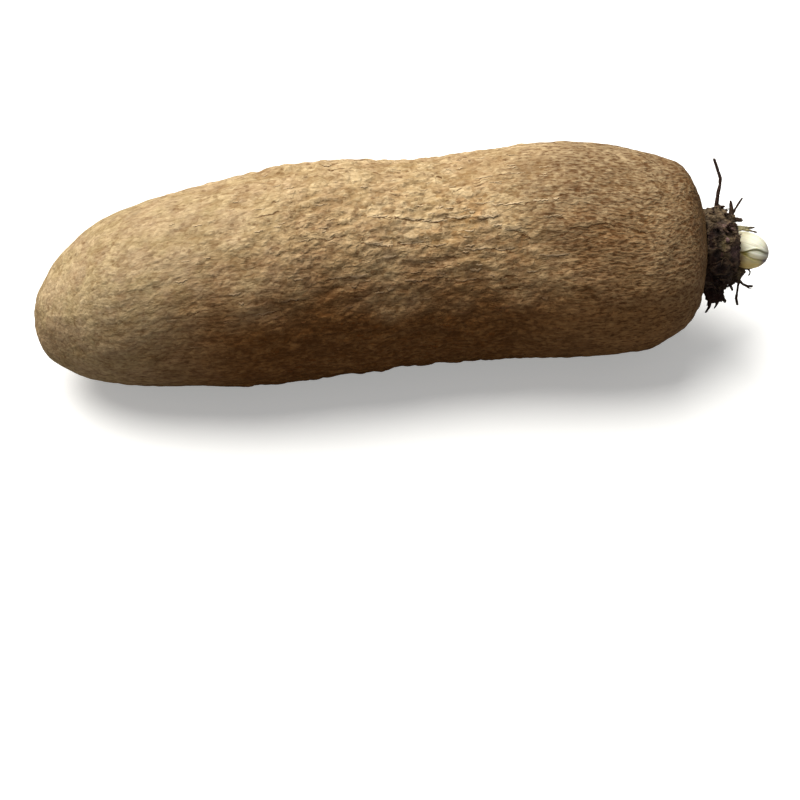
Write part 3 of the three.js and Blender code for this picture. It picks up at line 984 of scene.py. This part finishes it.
    def sample(self, grid, places, turns):
        """Values of a grid at places from the tip and turns round it, on the tuber's straight part."""
        rows = np.interp(places, self.from_tip[:, 0], np.arange(self.RINGS))
        columns = (turns + math.pi) / (2 * math.pi) * self.SPOKES
        row = np.clip(np.floor(rows).astype(int), 0, self.RINGS - 2)
        column = np.floor(columns).astype(int)
        up, over = (rows - row)[..., None], (columns - column)[..., None]
        column, beside = column % self.SPOKES, (column + 1) % self.SPOKES
        values = grid if grid.ndim == 3 else grid[..., None]
        near = values[row, column] * (1 - over) + values[row, beside] * over
        far = values[row + 1, column] * (1 - over) + values[row + 1, beside] * over
        return near * (1 - up) + far * up


def main_splits():
    """The splits of MAIN_SPLITS, each with a gentle wave."""
    splits = []
    for place, degrees, length, lean, strength in MAIN_SPLITS:
        splits.append({
            "place": place, "turn": math.radians(degrees), "length": length, "lean": lean,
            "strength": strength, "wave": 0.8, "period": 4.2, "phase": 0.1 * degrees, "lip_side": 1,
        })
    return splits


def small_splits(rng, count):
    """Splits at random, most often a little past the middle. Most have their lip on the upper side."""
    splits = []
    while len(splits) < count:
        turn = rng.uniform(-math.pi, math.pi)
        favoured = 1 if turn < 0.5 else -1
        splits.append({
            "place": rng.triangular(40, 322, 220), "turn": turn, "length": 5 + 26 * rng.random() ** 2,
            "lean": rng.uniform(-0.06, 0.06), "strength": rng.uniform(0.3, 0.8),
            "wave": rng.uniform(0.2, 0.8), "period": rng.uniform(2.5, 5), "phase": rng.uniform(0, 6),
            "lip_side": favoured if rng.random() < 0.8 else -favoured,
        })
    return splits


def loose_flake(skin, rng, place, turn, length, width, lift, side):
    """One thin curled scrap of cork: held on its upper edge and lifted on its ragged lower edge."""
    steps, rows = 9, 4
    thickness = 0.22
    along = np.linspace(-0.5, 0.5, steps + 1)
    taper = np.sqrt(np.clip(1 - (2 * along) ** 2, 0.02, 1))
    ragged = np.array([rng.uniform(0.5, 1.0) for _ in along])
    free = -width * taper * ragged
    held = 0.25 * width * taper
    points, marks_zone, marks_grain = [], [], []
    for layer in (0, 1):
        for row in range(rows + 1):
            share = row / rows
            across = held + (free - held) * share
            places = place + length * along
            turns = wrapped(turn + side * across / skin.GIRTH)
            spots = skin.sample(skin.skin, places, turns)
            ways = skin.sample(skin.normals, places, turns)
            rise = -0.35 + (lift + 0.5) * share ** 0.8 * smooth_rise(taper, 0.1, 0.75)
            sink = layer * thickness * (1 if 0 < row < rows else 0.4)
            points.append(spots + (rise - sink)[:, None] * ways)
            lows = skin.sample(skin.low, places, turns)[:, 0]
            edge = np.full(steps + 1, share ** 2)
            # Zones: the low sides for their darker colour, which is partly painted shade; the lifted edge for
            # a painted highlight; the underside sheet for painted shade
            marks_zone.append(triple(lows, edge, np.full(steps + 1, float(layer))))
            marks_grain.append(skin.sample(skin.grain * MM, places, turns))
    faces = sheet_faces(steps, rows)
    return np.concatenate(points), faces, np.concatenate(marks_grain), np.concatenate(marks_zone)


def sheet_faces(steps, rows):
    """The faces of two sheets of points, one over the other, closed round their rim."""
    columns = steps + 1
    under = columns * (rows + 1)
    faces = []
    for row in range(rows):
        for step in range(steps):
            a, b = row * columns + step, row * columns + step + 1
            c, d = b + columns, a + columns
            faces.append((a, d, c, b))
            faces.append((under + a, under + b, under + c, under + d))
    rim = list(range(columns))
    rim += [row * columns + steps for row in range(1, rows + 1)]
    rim += [rows * columns + step for step in range(steps - 1, -1, -1)]
    rim += [row * columns for row in range(rows - 1, 0, -1)]
    for here, there in zip(rim, rim[1:] + rim[:1]):
        faces.append((here, there, under + there, under + here))
    return faces


class Bundle:
    """Collects many small closed bodies into one mesh."""

    def __init__(self):
        self.points, self.faces, self.grain, self.zones = [], [], [], []
        self.count = 0

    def take(self, points, faces, grain, zones):
        """Takes one body in, unless it comes too near the floor."""
        if points[:, 2].min() < CLEAR_OF_FLOOR:
            return
        self.faces += [tuple(self.count + corner for corner in face) for face in faces]
        self.points.append(points)
        self.grain.append(grain)
        self.zones.append(zones)
        self.count += len(points)

    def add(self, name, material, slot):
        marks = {"grain": np.concatenate(self.grain), "zones": np.concatenate(self.zones)}
        return add_piece(name, np.concatenate(self.points), self.faces, marks, material, slot)


def add_flakes(skin, settings):
    """Loose cork along the splits and over the flaky middle of the tuber."""
    rng = random.Random(SEED + 1)
    bundle = Bundle()
    first, last = SPLIT_FLAKE_PLACES
    for split in skin.splits:
        if split["strength"] < FLAKING_STRENGTH or not first < split["place"] < last:
            continue
        pieces = max(1, round(split["length"] / 14))
        for index in range(pieces):
            shift = split["length"] * ((index + 0.5) / pieces - 0.5)
            wave = split["wave"] * math.sin(shift / split["period"] + split["phase"])
            turn = split["turn"] + (split["lean"] * shift + wave) / skin.GIRTH
            width = rng.uniform(1.4, 2.6)
            side = split["lip_side"]
            turn += side * 0.8 * width / skin.GIRTH
            length = split["length"] / pieces * rng.uniform(0.7, 1.0)
            lift = rng.uniform(0.0, 0.1) * split["strength"]
            bundle.take(*loose_flake(skin, rng, split["place"] + shift, turn, length, width, lift, side))
    for _ in range(settings.flake_count):
        turn = rng.uniform(-math.pi, math.pi)
        side = 1 if turn < 0.5 else -1
        place = rng.triangular(*FLAKE_PLACES)
        length, width, lift = rng.uniform(2.5, 7.5), rng.uniform(1.0, 2.6), rng.uniform(0.0, 0.16)
        bundle.take(*loose_flake(skin, rng, place, turn, length, width, lift, side))
    return bundle.add("skin_flakes", flake_material(settings), "skin")


# The root crown


def fine_copy(node, cell, smoothing):
    """The points, faces and normals of a solid's fine voxel copy, in millimetres."""
    rough = bpy.data.objects.new("rough_copy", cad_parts[node].data.copy())
    bpy.context.scene.collection.objects.link(rough)
    remesh = rough.modifiers.new("Fine", "REMESH")
    remesh.mode = "VOXEL"
    remesh.voxel_size = cell
    smooth = rough.modifiers.new("Smooth", "SMOOTH")
    smooth.factor = 0.5
    smooth.iterations = smoothing
    bpy.context.view_layer.update()
    fine = bpy.data.meshes.new_from_object(rough.evaluated_get(bpy.context.evaluated_depsgraph_get()))
    faces = [tuple(p.vertices) for p in fine.polygons]
    grids = []
    for name in ("co", "normal"):
        grid = np.empty(3 * len(fine.vertices))
        fine.vertices.foreach_get(name, grid)
        grids.append(grid.reshape(-1, 3))
    worn = rough.data
    bpy.data.objects.remove(rough)
    bpy.data.meshes.remove(worn)
    bpy.data.meshes.remove(fine)
    return grids[0] / MM, faces, grids[1]


def thicknesses(points, normals, tree, limit):
    """How thick the body is under each point, up to a limit."""
    result = []
    for point, normal in zip(points.tolist(), normals.tolist()):
        inward = -Vector(normal)
        hit = tree.ray_cast(Vector(point) + 0.02 * inward, inward, limit)
        result.append(limit if hit[0] is None else hit[3])
    return np.array(result)


class RootCrown:
    """The crown's bark: a fine copy of its solid, roughened where it is thick enough."""

    # Thicknesses are measured up to this many millimetres
    THICKEST = 6.0

    def __init__(self, settings):
        base, self.faces, self.normals = fine_copy("root_crown", settings.cell, 3)
        tree = BVHTree.FromPolygons(base.tolist(), self.faces)
        self.thick = thicknesses(base, self.normals, tree, self.THICKEST)
        self.foot = np.array(CROWN_FOOT)
        out = base - self.foot
        along, up, front = out[:, 0], out @ np.array(FAN_UP), out @ np.array(FAN_FRONT)
        self.crease = bell(along, 2.6, 1.8) * smooth_rise(up, 14.0, 7.0)
        height = settings.bark_height / MM * self.roughness(base) - 1.4 * self.crease
        room = np.clip(0.36 * self.thick - 1.06, 0.08, 1.3)
        self.height = np.clip(height, -room, room)
        self.points = base + self.height[:, None] * self.normals
        self.tree = BVHTree.FromPolygons(self.points.tolist(), self.faces)
        self.zones_of_colour(base, along, up, front)

    def roughness(self, base):
        """Knobs, warts, fibres and grit, as one rough height before its limits."""
        knobs = 0.45 - 1.6 * np.abs(bumps(base, 5.2, 4.6, 8.4))
        warts = 0.4 - 1.4 * np.abs(bumps(base, 2.4, 2.2, 5.4))
        fibres, grit = bumps(base, 7.0, 1.3, 3.1), bumps(base, 1.1, 0.8, 12.9)
        return 2.1 * knobs + 0.6 * warts + 0.35 * fibres + 0.25 * grit

    def zones_of_colour(self, base, along, up, front):
        """Masks from 0 to 1 for the bark's colours, by the place along, up and out in front of its foot."""
        thin = smooth_rise(self.thick, 4.5, 3.0)
        self.dry = smooth_rise(up, 7.0, 14.0) * (1 - 0.85 * self.crease) * (1 - 0.85 * thin)
        streaks = smooth_rise(bumps(base, 7.0, 1.6, 4.2), -0.15, 0.25)
        red = bell(up, 9.0, 3.4) * smooth_rise(along, 2, 5) * streaks
        mauve = bell(along, 11.0, 3.4) * bell(up, -2.0, 3.8) * smooth_rise(front, 1, 6)
        self.bloom = np.clip(0.85 * red + 1.2 * mauve, 0, 1) * (1 - self.crease)
        olive = bell(along, 6.2, 3.6) * bell(up, 0.5, 6.5) * smooth_rise(front, 3, 10)
        under = bell(along, 17.0, 4.5) * bell(up, -12.5, 4.0)
        self.moss = np.clip(1.2 * olive + 0.9 * under, 0, 1)
        self.lit = 0.42 + 0.7 * smooth_rise(up, -10.0, 8.0)
        shreds = smooth_rise(along, 11.5, 14.5) * smooth_rise(up, 5.5, 7.5) * smooth_rise(up, 14, 12.5)
        self.straw = 0.95 * shreds * smooth_rise(self.thick, 5.5, 3.5)
        self.tips = np.maximum(smooth_rise(along, 21.0, 23.5), smooth_rise(np.abs(up), 20, 23))

    def add(self, settings):
        """Makes the piece, with painted highlights on its ridges and painted shade in its folds."""
        # A painted highlight on the raised bark, stronger higher up where it is lit
        ridge_highlight = smooth_rise(self.height, 0.05, 0.3) * self.lit
        # Painted shade in the hollows of the bark and in the crease by the tuber, less where moss and bloom
        # lie
        deep = np.maximum(smooth_rise(-self.height, 0.1, 0.7), 0.75 * self.crease)
        marks = {
            "grain": self.points * MM,
            "zones": triple(self.dry, ridge_highlight, self.bloom),
            "growth": triple(self.straw, self.tips, self.moss),
            "folds": triple(deep * (1 - 0.75 * np.maximum(self.moss, self.bloom))),
        }
        material = bark_material(settings)
        return add_piece("crown_bark", self.points, self.faces, marks, material, "root", "root_crown")


def strand(route, widths, flatness, sides, lay):
    """A closed tapered strand along a route. The lay is the way its flat side faces."""
    route = [Vector(p) for p in route]
    points, shares = [], []
    for index, spot in enumerate(route):
        before, after = route[max(index - 1, 0)], route[min(index + 1, len(route) - 1)]
        ahead = (after - before).normalized()
        wide = ahead.cross(lay).normalized()
        thin = wide.cross(ahead)
        for side in range(sides):
            clock = 2 * math.pi * side / sides
            offset = math.cos(clock) * wide + flatness * math.sin(clock) * thin
            points.append(tuple(spot + 0.5 * widths[index] * offset))
            shares.append(index / (len(route) - 1))
    faces = []
    for index in range(len(route) - 1):
        for side in range(sides):
            after = (side + 1) % sides
            a, b = index * sides + side, index * sides + after
            faces.append((a, a + sides, b + sides, b))
    faces.append(tuple(range(sides)))
    last = (len(route) - 1) * sides
    faces.append(tuple(last + side for side in reversed(range(sides))))
    return np.array(points), faces, np.array(shares)


def old_scale(crown, rng, spot, way):
    """A dry pointed scale leaf that grows off the crown towards its outer end."""
    steps, rows = 6, 4
    out = Vector((1, 0, 0)) + 0.8 * scatter(rng)
    ahead = (out - out.dot(way) * way).normalized()
    wide = ahead.cross(way)
    length, width = 2 + 5.5 * rng.random() ** 1.6, rng.uniform(1.4, 4.8)
    lean, curl = rng.uniform(0.02, 0.22), rng.uniform(-0.3, 0.15)
    thickness = 0.3
    points = []
    for layer in (0, 1):
        for row in range(rows + 1):
            for step in range(steps + 1):
                along = step / steps
                across = 2 * row / rows - 1
                ragged = 0.9 + 0.1 * math.sin(9 * along + 3 * across)
                girth = 0.5 * width * (1 - along ** 2.2) ** 0.6 * ragged
                rise = lean * along * length + curl * length * along ** 2 - 0.3
                cup = 0.22 * width * (1 - across ** 2) - layer * thickness * (1 - 0.6 * abs(across))
                on_crown = spot + (along * length - 0.5) * ahead
                points.append(on_crown + girth * across * wide + (rise + cup) * way)
    points = np.array(points)
    shares = np.tile(np.tile(np.arange(steps + 1) / steps, rows + 1), 2)
    grain = triple(shares * length, points[:, 1], points[:, 2]) * MM
    height = (spot - Vector(crown.foot)).dot(Vector(FAN_UP))
    straw = 0.5 * rng.random() ** 5 * smooth_rise(height, 0.0, 9.0)
    pale = rng.random() * (0.25 + 0.75 * smooth_rise(height, -4.0, 12.0))
    zones = triple(*(value + 0 * shares for value in (straw, pale, rng.random() ** 3)))
    return points, sheet_faces(steps, rows), grain, zones


class CrownFibres:
    """Grows torn bark strips, fine hairs and dry scale leaves, all rooted in the crown's thick body."""

    # They root where the crown is thicker than this and no farther from its foot, in millimetres
    STOUT = 5.5
    FARTHEST = 23

    def __init__(self, crown):
        self.crown = crown
        self.rng = random.Random(SEED + 2)
        self.bundle = Bundle()
        self.foot = Vector(crown.foot)
        self.fan_up, self.fan_front = Vector(FAN_UP), Vector(FAN_FRONT)
        self.bud_foot, self.bud_aim = Vector(BUD_FOOT), Vector(BUD_AIM).normalized()

    def clear_of_bud(self, spot):
        along = (spot - self.bud_foot).dot(self.bud_aim)
        away = (spot - self.bud_foot - along * self.bud_aim).length
        return away > BUD_RADIUS + 1.2 or along < -1

    def seed(self, highest):
        """A random stout place up to a height in the fan, off the rim by the bud, and its normal."""
        while True:
            index = self.rng.randrange(len(self.crown.points))
            spot, way = Vector(self.crown.points[index]), Vector(self.crown.normals[index])
            out = spot - self.foot
            height, front = out.dot(self.fan_up), out.dot(self.fan_front)
            on_rim = out.x > 9.5 and front > 3 and abs(height + 1) < 9
            stout = self.crown.thick[index] > self.STOUT and out.length < self.FARTHEST
            if self.clear_of_bud(spot) and stout and height < highest and not on_rim:
                return spot, way

    def take(self, route, widths, flatness, sides, lay, straw, tone):
        """Takes in one strand, with its grain and its colours."""
        points, faces, shares = strand(route, widths, flatness, sides, lay)
        grain = triple(shares * 12 + self.rng.uniform(0, 50), points[:, 1], points[:, 2]) * MM
        self.bundle.take(points, faces, grain, triple(straw + 0 * shares, tone + 0 * shares))

    def add_strip(self, spot, way):
        """A torn strip that follows the bark outwards and lifts off at its end."""
        rng, foot, steps = self.rng, self.crown.foot, 8
        radial = Vector((0, spot.y - foot[1], spot.z - foot[2])).normalized()
        ahead = (Vector((1, 0, 0)) + 0.35 * radial + 0.5 * scatter(rng)).normalized()
        length, width = rng.uniform(4, 11), rng.uniform(0.5, 1.5)
        route, widths = [], []
        here = spot
        for step in range(steps + 1):
            share = step / steps
            near, normal = self.crown.tree.find_nearest(here)[:2]
            lift = 0.08 + rng.uniform(0.2, 0.7) * share ** 3
            route.append(near + lift * normal)
            swell = 0.35 + 0.65 * math.sin(math.pi * (0.15 + 0.8 * share))
            widths.append(width * swell * (1 if step < steps else 0.25))
            here = near + length / steps * (ahead - ahead.dot(normal) * normal)
        if all(self.clear_of_bud(p) for p in route):
            pale = 0.4 + 0.6 * smooth_rise((spot - self.foot).dot(self.fan_up), -4.0, 12.0)
            self.take(route, widths, 0.3, 5, way, 0.12 * rng.random() * pale, rng.random() * pale)

    def add_hair(self, spot, way):
        """A thin hair that curls and sags."""
        rng, steps = self.rng, 7
        length, width = rng.uniform(1.5, 6), rng.uniform(0.25, 0.55)
        curl = scatter(rng)
        ahead = (way + 0.6 * scatter(rng)).normalized()
        route = [spot - 0.4 * way]
        for step in range(steps):
            ahead = (ahead + 0.22 * curl + Vector((0, 0, -0.03))).normalized()
            route.append(route[-1] + length / steps * ahead)
        widths = [width * (1 - 0.7 * index / steps) for index in range(steps + 1)]
        if all(self.clear_of_bud(p) for p in route):
            self.take(route, widths, 1.0, 4, Vector((0.3, 0.5, 0.8)), 0.15 * rng.random(), rng.random())

    def add_plate(self, spot, way):
        """A dry scale leaf, if it keeps clear of the bud."""
        plate = old_scale(self.crown, self.rng, spot, way)
        if all(self.clear_of_bud(Vector(p)) for p in plate[0]):
            self.bundle.take(*plate)


def add_fibres(crown, settings):
    """The crown's strips, hairs and scale leaves. Each kind grows up to its own height in the fan."""
    fibres = CrownFibres(crown)
    kinds = (
        (fibres.add_strip, settings.strip_count, 21.0),
        (fibres.add_hair, settings.hair_count, -4.0),
        (fibres.add_plate, settings.plate_count, 19.0),
    )
    for add_one, count, highest in kinds:
        for _ in range(count):
            add_one(*fibres.seed(highest))
    return fibres.bundle.add("crown_fibres", fibre_material(settings), "root")


# The sprout bud


def curve_through(knots, share):
    """Points of a smooth curve through knots, at shares of the way from the first to the last."""
    knots = np.array(knots, dtype=float)
    padded = np.concatenate((2 * knots[:1] - knots[1:2], knots, 2 * knots[-1:] - knots[-2:-1]))
    along = np.asarray(share) * (len(knots) - 1)
    index = np.clip(np.floor(along).astype(int), 0, len(knots) - 2)
    t = (along - index)[..., None]
    a, b, c, d = (padded[index + k] for k in range(4))
    return 0.5 * (2 * b + (c - a) * t + (2 * a - 5 * b + 4 * c - d) * t**2 + (3 * b - a - 3 * c + d) * t**3)


class BudScales:
    """The bud's scales: two outer ones close round it and leave a lens-shaped gap on its front."""

    RINGS = 150
    SPOKES = 220

    def __init__(self, settings):
        self.step = 1.3 * settings.scale_step / MM
        outline = curve_through(BUD_FORM, (np.arange(self.RINGS) + 1) / (self.RINGS + 1))
        self.along = outline[:, 0][:, None] + np.zeros(self.SPOKES)
        self.radius = np.clip(outline[:, 1], 0, None)[:, None] * BUD_RADIUS + np.zeros(self.SPOKES)
        clock = 2 * math.pi * np.arange(self.SPOKES) / self.SPOKES - math.pi
        self.clock = clock[None, :] + 0 * self.along
        self.across = np.abs(self.radius * np.sin(self.clock))
        aim = unit(np.array(BUD_AIM))
        side = np.array(BUD_GAP_SIDE)
        side = unit(side - side.dot(aim) * aim)
        self.ways = np.stack((aim, side, np.cross(aim, side)))
        self.find_opening()

    def find_opening(self):
        """The gap's half width, and how far each point is from the edge of the outer scales."""
        self.opening = smooth_rise(self.along, 0.34, 0.72)
        above = smooth_rise(-np.sin(self.clock), -0.1, 0.1)
        front_half = 2.1 + above * (1.5 - 1.4 * smooth_rise(self.along, 0.75, 1.0))
        in_front = smooth_rise(np.cos(self.clock), -0.3, 0.3)
        self.half = (1.0 + (front_half - 1.0) * in_front) * self.opening
        self.gap = self.across - self.half + 1.0 - smooth_rise(self.along, 0.3, 0.38)

    def relief(self):
        """How far the scales stand out from the bud's outline, in millimetres."""
        lip = bell(self.gap, 0.35, 0.45) * self.opening
        inner = np.clip(1 - self.across / (self.half + 0.01), 0, 1) * self.opening
        veins = np.sin(self.clock * 23 + 2 * np.sin(6 * self.along))
        relief = self.step * (smooth_rise(self.gap, -0.45, 0.1) - 1) + 0.25 * lip
        return relief + 0.8 * self.step * np.sqrt(inner) + 0.04 * veins * self.opening

    def round_grid(self, reach):
        """Points at a reach round the bud's own axis, which is X."""
        return triple(self.along * BUD_LENGTH, reach * np.cos(self.clock), reach * np.sin(self.clock))

    def zones(self, local):
        """Masks from 0 to 1 for the folds, the tip and the foot, and for the scales' lower side."""
        fold = bell(self.gap, -0.3, 0.55) * smooth_rise(self.along, 0.3, 0.42)
        at_foot = 0.42 * (1 - smooth_rise(self.along, 0.34, 0.64))
        fold = np.clip(fold * (1.1 - 0.5 * self.along) + at_foot, 0, 1)
        in_front = smooth_rise(np.cos(self.clock), 0.0, 0.4)
        apex = bell(self.along, 0.5, 0.1) * bell(self.across, 0, 1.9) * in_front
        fold = np.maximum(fold, 0.95 * apex)
        outward = unit(local[..., 1:]) @ self.ways[1:]
        below = smooth_rise(-(outward @ np.array(FAN_UP)), 0.0, 0.85)
        tip = 0.95 * smooth_rise(self.along, 0.8, 0.97) * (0.45 + 0.55 * below)
        tip = np.clip(tip + 0.4 * fold * smooth_rise(self.along, 0.6, 0.95), 0, 1)
        foot = (1 - smooth_rise(self.along, 0.36, 0.52)) * (0.35 + 0.65 * below)
        foot = np.clip(foot + 0.8 * below * smooth_rise(self.along, 0.62, 0.45), 0, 1)
        return fold, tip, foot, below

    def add(self, settings):
        """Makes the piece. Each pole takes the marks of a point beside it."""
        reach = self.radius + self.relief() * smooth_rise(self.radius, 0, 4)
        local = self.round_grid(np.clip(reach, 0.05, None))
        *zones, below = self.zones(local)
        start = np.array(BUD_FOOT)

        def with_poles(values):
            flat = values.reshape(self.RINGS * self.SPOKES, -1)
            return np.concatenate((flat, flat[:1], flat[-1:]))

        marks = {
            "grain": with_poles(self.round_grid(BUD_RADIUS) * MM),
            "zones": with_poles(triple(*zones)),
            "sides": with_poles(triple(below)),
        }
        poles = (start, start + BUD_LENGTH * self.ways[0])
        points = np.concatenate((local.reshape(-1, 3) @ self.ways + start, poles))
        faces = [tuple(reversed(face)) for face in ring_faces(self.RINGS, self.SPOKES)]
        return add_piece("bud_scales", points, faces, marks, bud_material(settings), "bud", "sprout_bud")


# The stage


def look_from(azimuth, elevation):
    """The way from the target back to a camera or light."""
    flat = math.cos(elevation)
    return Vector((math.sin(azimuth) * flat, -math.cos(azimuth) * flat, math.sin(elevation)))


def add_camera(stage):
    """A camera that looks at the target."""
    camera = bpy.data.objects.new("camera", bpy.data.cameras.new("camera"))
    camera.data.lens = stage.lens
    camera.data.sensor_width = 36
    back = look_from(stage.azimuth, stage.elevation)
    camera.location = Vector(stage.target) + stage.distance * back
    camera.rotation_euler = back.to_track_quat("Z", "Y").to_euler()
    bpy.context.scene.collection.objects.link(camera)
    bpy.context.scene.camera = camera


def add_sun(name, back, strength, spread, colour):
    """A soft distant light. Back points towards it, and the spread is its width in degrees."""
    light = bpy.data.lights.new(name, "SUN")
    light.energy = strength
    light.angle = math.radians(spread)
    light.color = colour
    lamp = bpy.data.objects.new(name, light)
    lamp.rotation_euler = back.to_track_quat("Z", "Y").to_euler()
    bpy.context.scene.collection.objects.link(lamp)


def add_floor(stage):
    """A wide square floor just under the yam, in metres."""
    reach, drop = 4.0, 0.0002
    mesh = bpy.data.meshes.new("floor")
    corners = [(-reach, -reach, 0), (reach, -reach, 0), (reach, reach, 0), (-reach, reach, 0)]
    mesh.from_pydata(corners, [], [(0, 1, 2, 3)])
    mesh.materials.append(floor_material(stage))
    floor = bpy.data.objects.new("floor", mesh)
    floor.location.z = -drop
    bpy.context.scene.collection.objects.link(floor)


def light_room(stage):
    """A pale room that lights weakly but looks bright."""
    world = bpy.data.worlds.new("studio")
    world.use_nodes = True
    bpy.context.scene.world = world
    desk = NodeDesk(world.node_tree)
    background = world.node_tree.nodes["Background"]
    seen = desk.add("ShaderNodeLightPath").outputs["Is Camera Ray"]
    background.inputs["Color"].default_value = (0.95, 0.96, 1.0, 1)
    seen_strength = 0.9
    strength = desk.scaled(seen, seen_strength - stage.fill_strength, stage.fill_strength)
    desk.feed(background.inputs["Strength"], strength)


class YAM_OT_stage(bpy.types.Operator):
    """Sets the camera, the floor and the soft studio lights"""

    bl_idname = "yam.set_stage"
    bl_label = "Set Stage"

    def execute(self, context):
        stage = context.scene.yam_stage
        add_camera(stage)
        add_floor(stage)
        light_room(stage)
        add_sun("key_light", Vector((-0.3, 0.36, 0.88)), stage.key_strength, 60, (1.0, 0.98, 0.95))
        context.scene.view_settings.view_transform = "Standard"
        return {"FINISHED"}


class YAM_OT_skin(bpy.types.Operator):
    """Grows the tuber's cork skin and its loose flakes"""

    bl_idname = "yam.grow_skin"
    bl_label = "Grow Skin"

    def execute(self, context):
        settings = context.scene.yam_skin
        skin = TuberSkin()
        skin.add(settings)
        add_flakes(skin, settings)
        return {"FINISHED"}


class YAM_OT_crown(bpy.types.Operator):
    """Grows the crown's bark, hairs and shreds"""

    bl_idname = "yam.grow_crown"
    bl_label = "Grow Crown"

    def execute(self, context):
        settings = context.scene.yam_crown
        crown = RootCrown(settings)
        crown.add(settings)
        add_fibres(crown, settings)
        return {"FINISHED"}


class YAM_OT_bud(bpy.types.Operator):
    """Grows the sprout bud's scales"""

    bl_idname = "yam.grow_bud"
    bl_label = "Grow Bud"

    def execute(self, context):
        settings = context.scene.yam_bud
        BudScales(settings).add(settings)
        return {"FINISHED"}


class YAM_PT_sidebar(bpy.types.Panel):
    """Shows the yam's operator buttons and boxes of its settings"""

    bl_label = "White Yam"
    bl_space_type = "VIEW_3D"
    bl_region_type = "UI"
    bl_category = "White Yam"

    def draw(self, context):
        for operator in (YAM_OT_stage, YAM_OT_skin, YAM_OT_crown, YAM_OT_bud):
            self.layout.operator(operator.bl_idname)
        for group in ("yam_stage", "yam_skin", "yam_crown", "yam_bud"):
            box = self.layout.box()
            settings = getattr(context.scene, group)
            for name in settings.__annotations__:
                box.prop(settings, name)


SETTINGS = {
    "yam_skin": YamSkinSettings,
    "yam_crown": YamCrownSettings,
    "yam_bud": YamBudSettings,
    "yam_stage": YamStageSettings,
}
OPERATORS = (YAM_OT_stage, YAM_OT_skin, YAM_OT_crown, YAM_OT_bud)


def register():
    for group in (*SETTINGS.values(), *OPERATORS, YAM_PT_sidebar):
        bpy.utils.register_class(group)
    for name, group in SETTINGS.items():
        setattr(bpy.types.Scene, name, PointerProperty(type=group))


def unregister():
    for name in SETTINGS:
        delattr(bpy.types.Scene, name)
    for group in reversed((*SETTINGS.values(), *OPERATORS, YAM_PT_sidebar)):
        bpy.utils.unregister_class(group)


def main():
    register()
    bpy.ops.yam.set_stage()
    bpy.ops.yam.grow_skin()
    bpy.ops.yam.grow_crown()
    bpy.ops.yam.grow_bud()


if __name__ == "__main__":
    main()
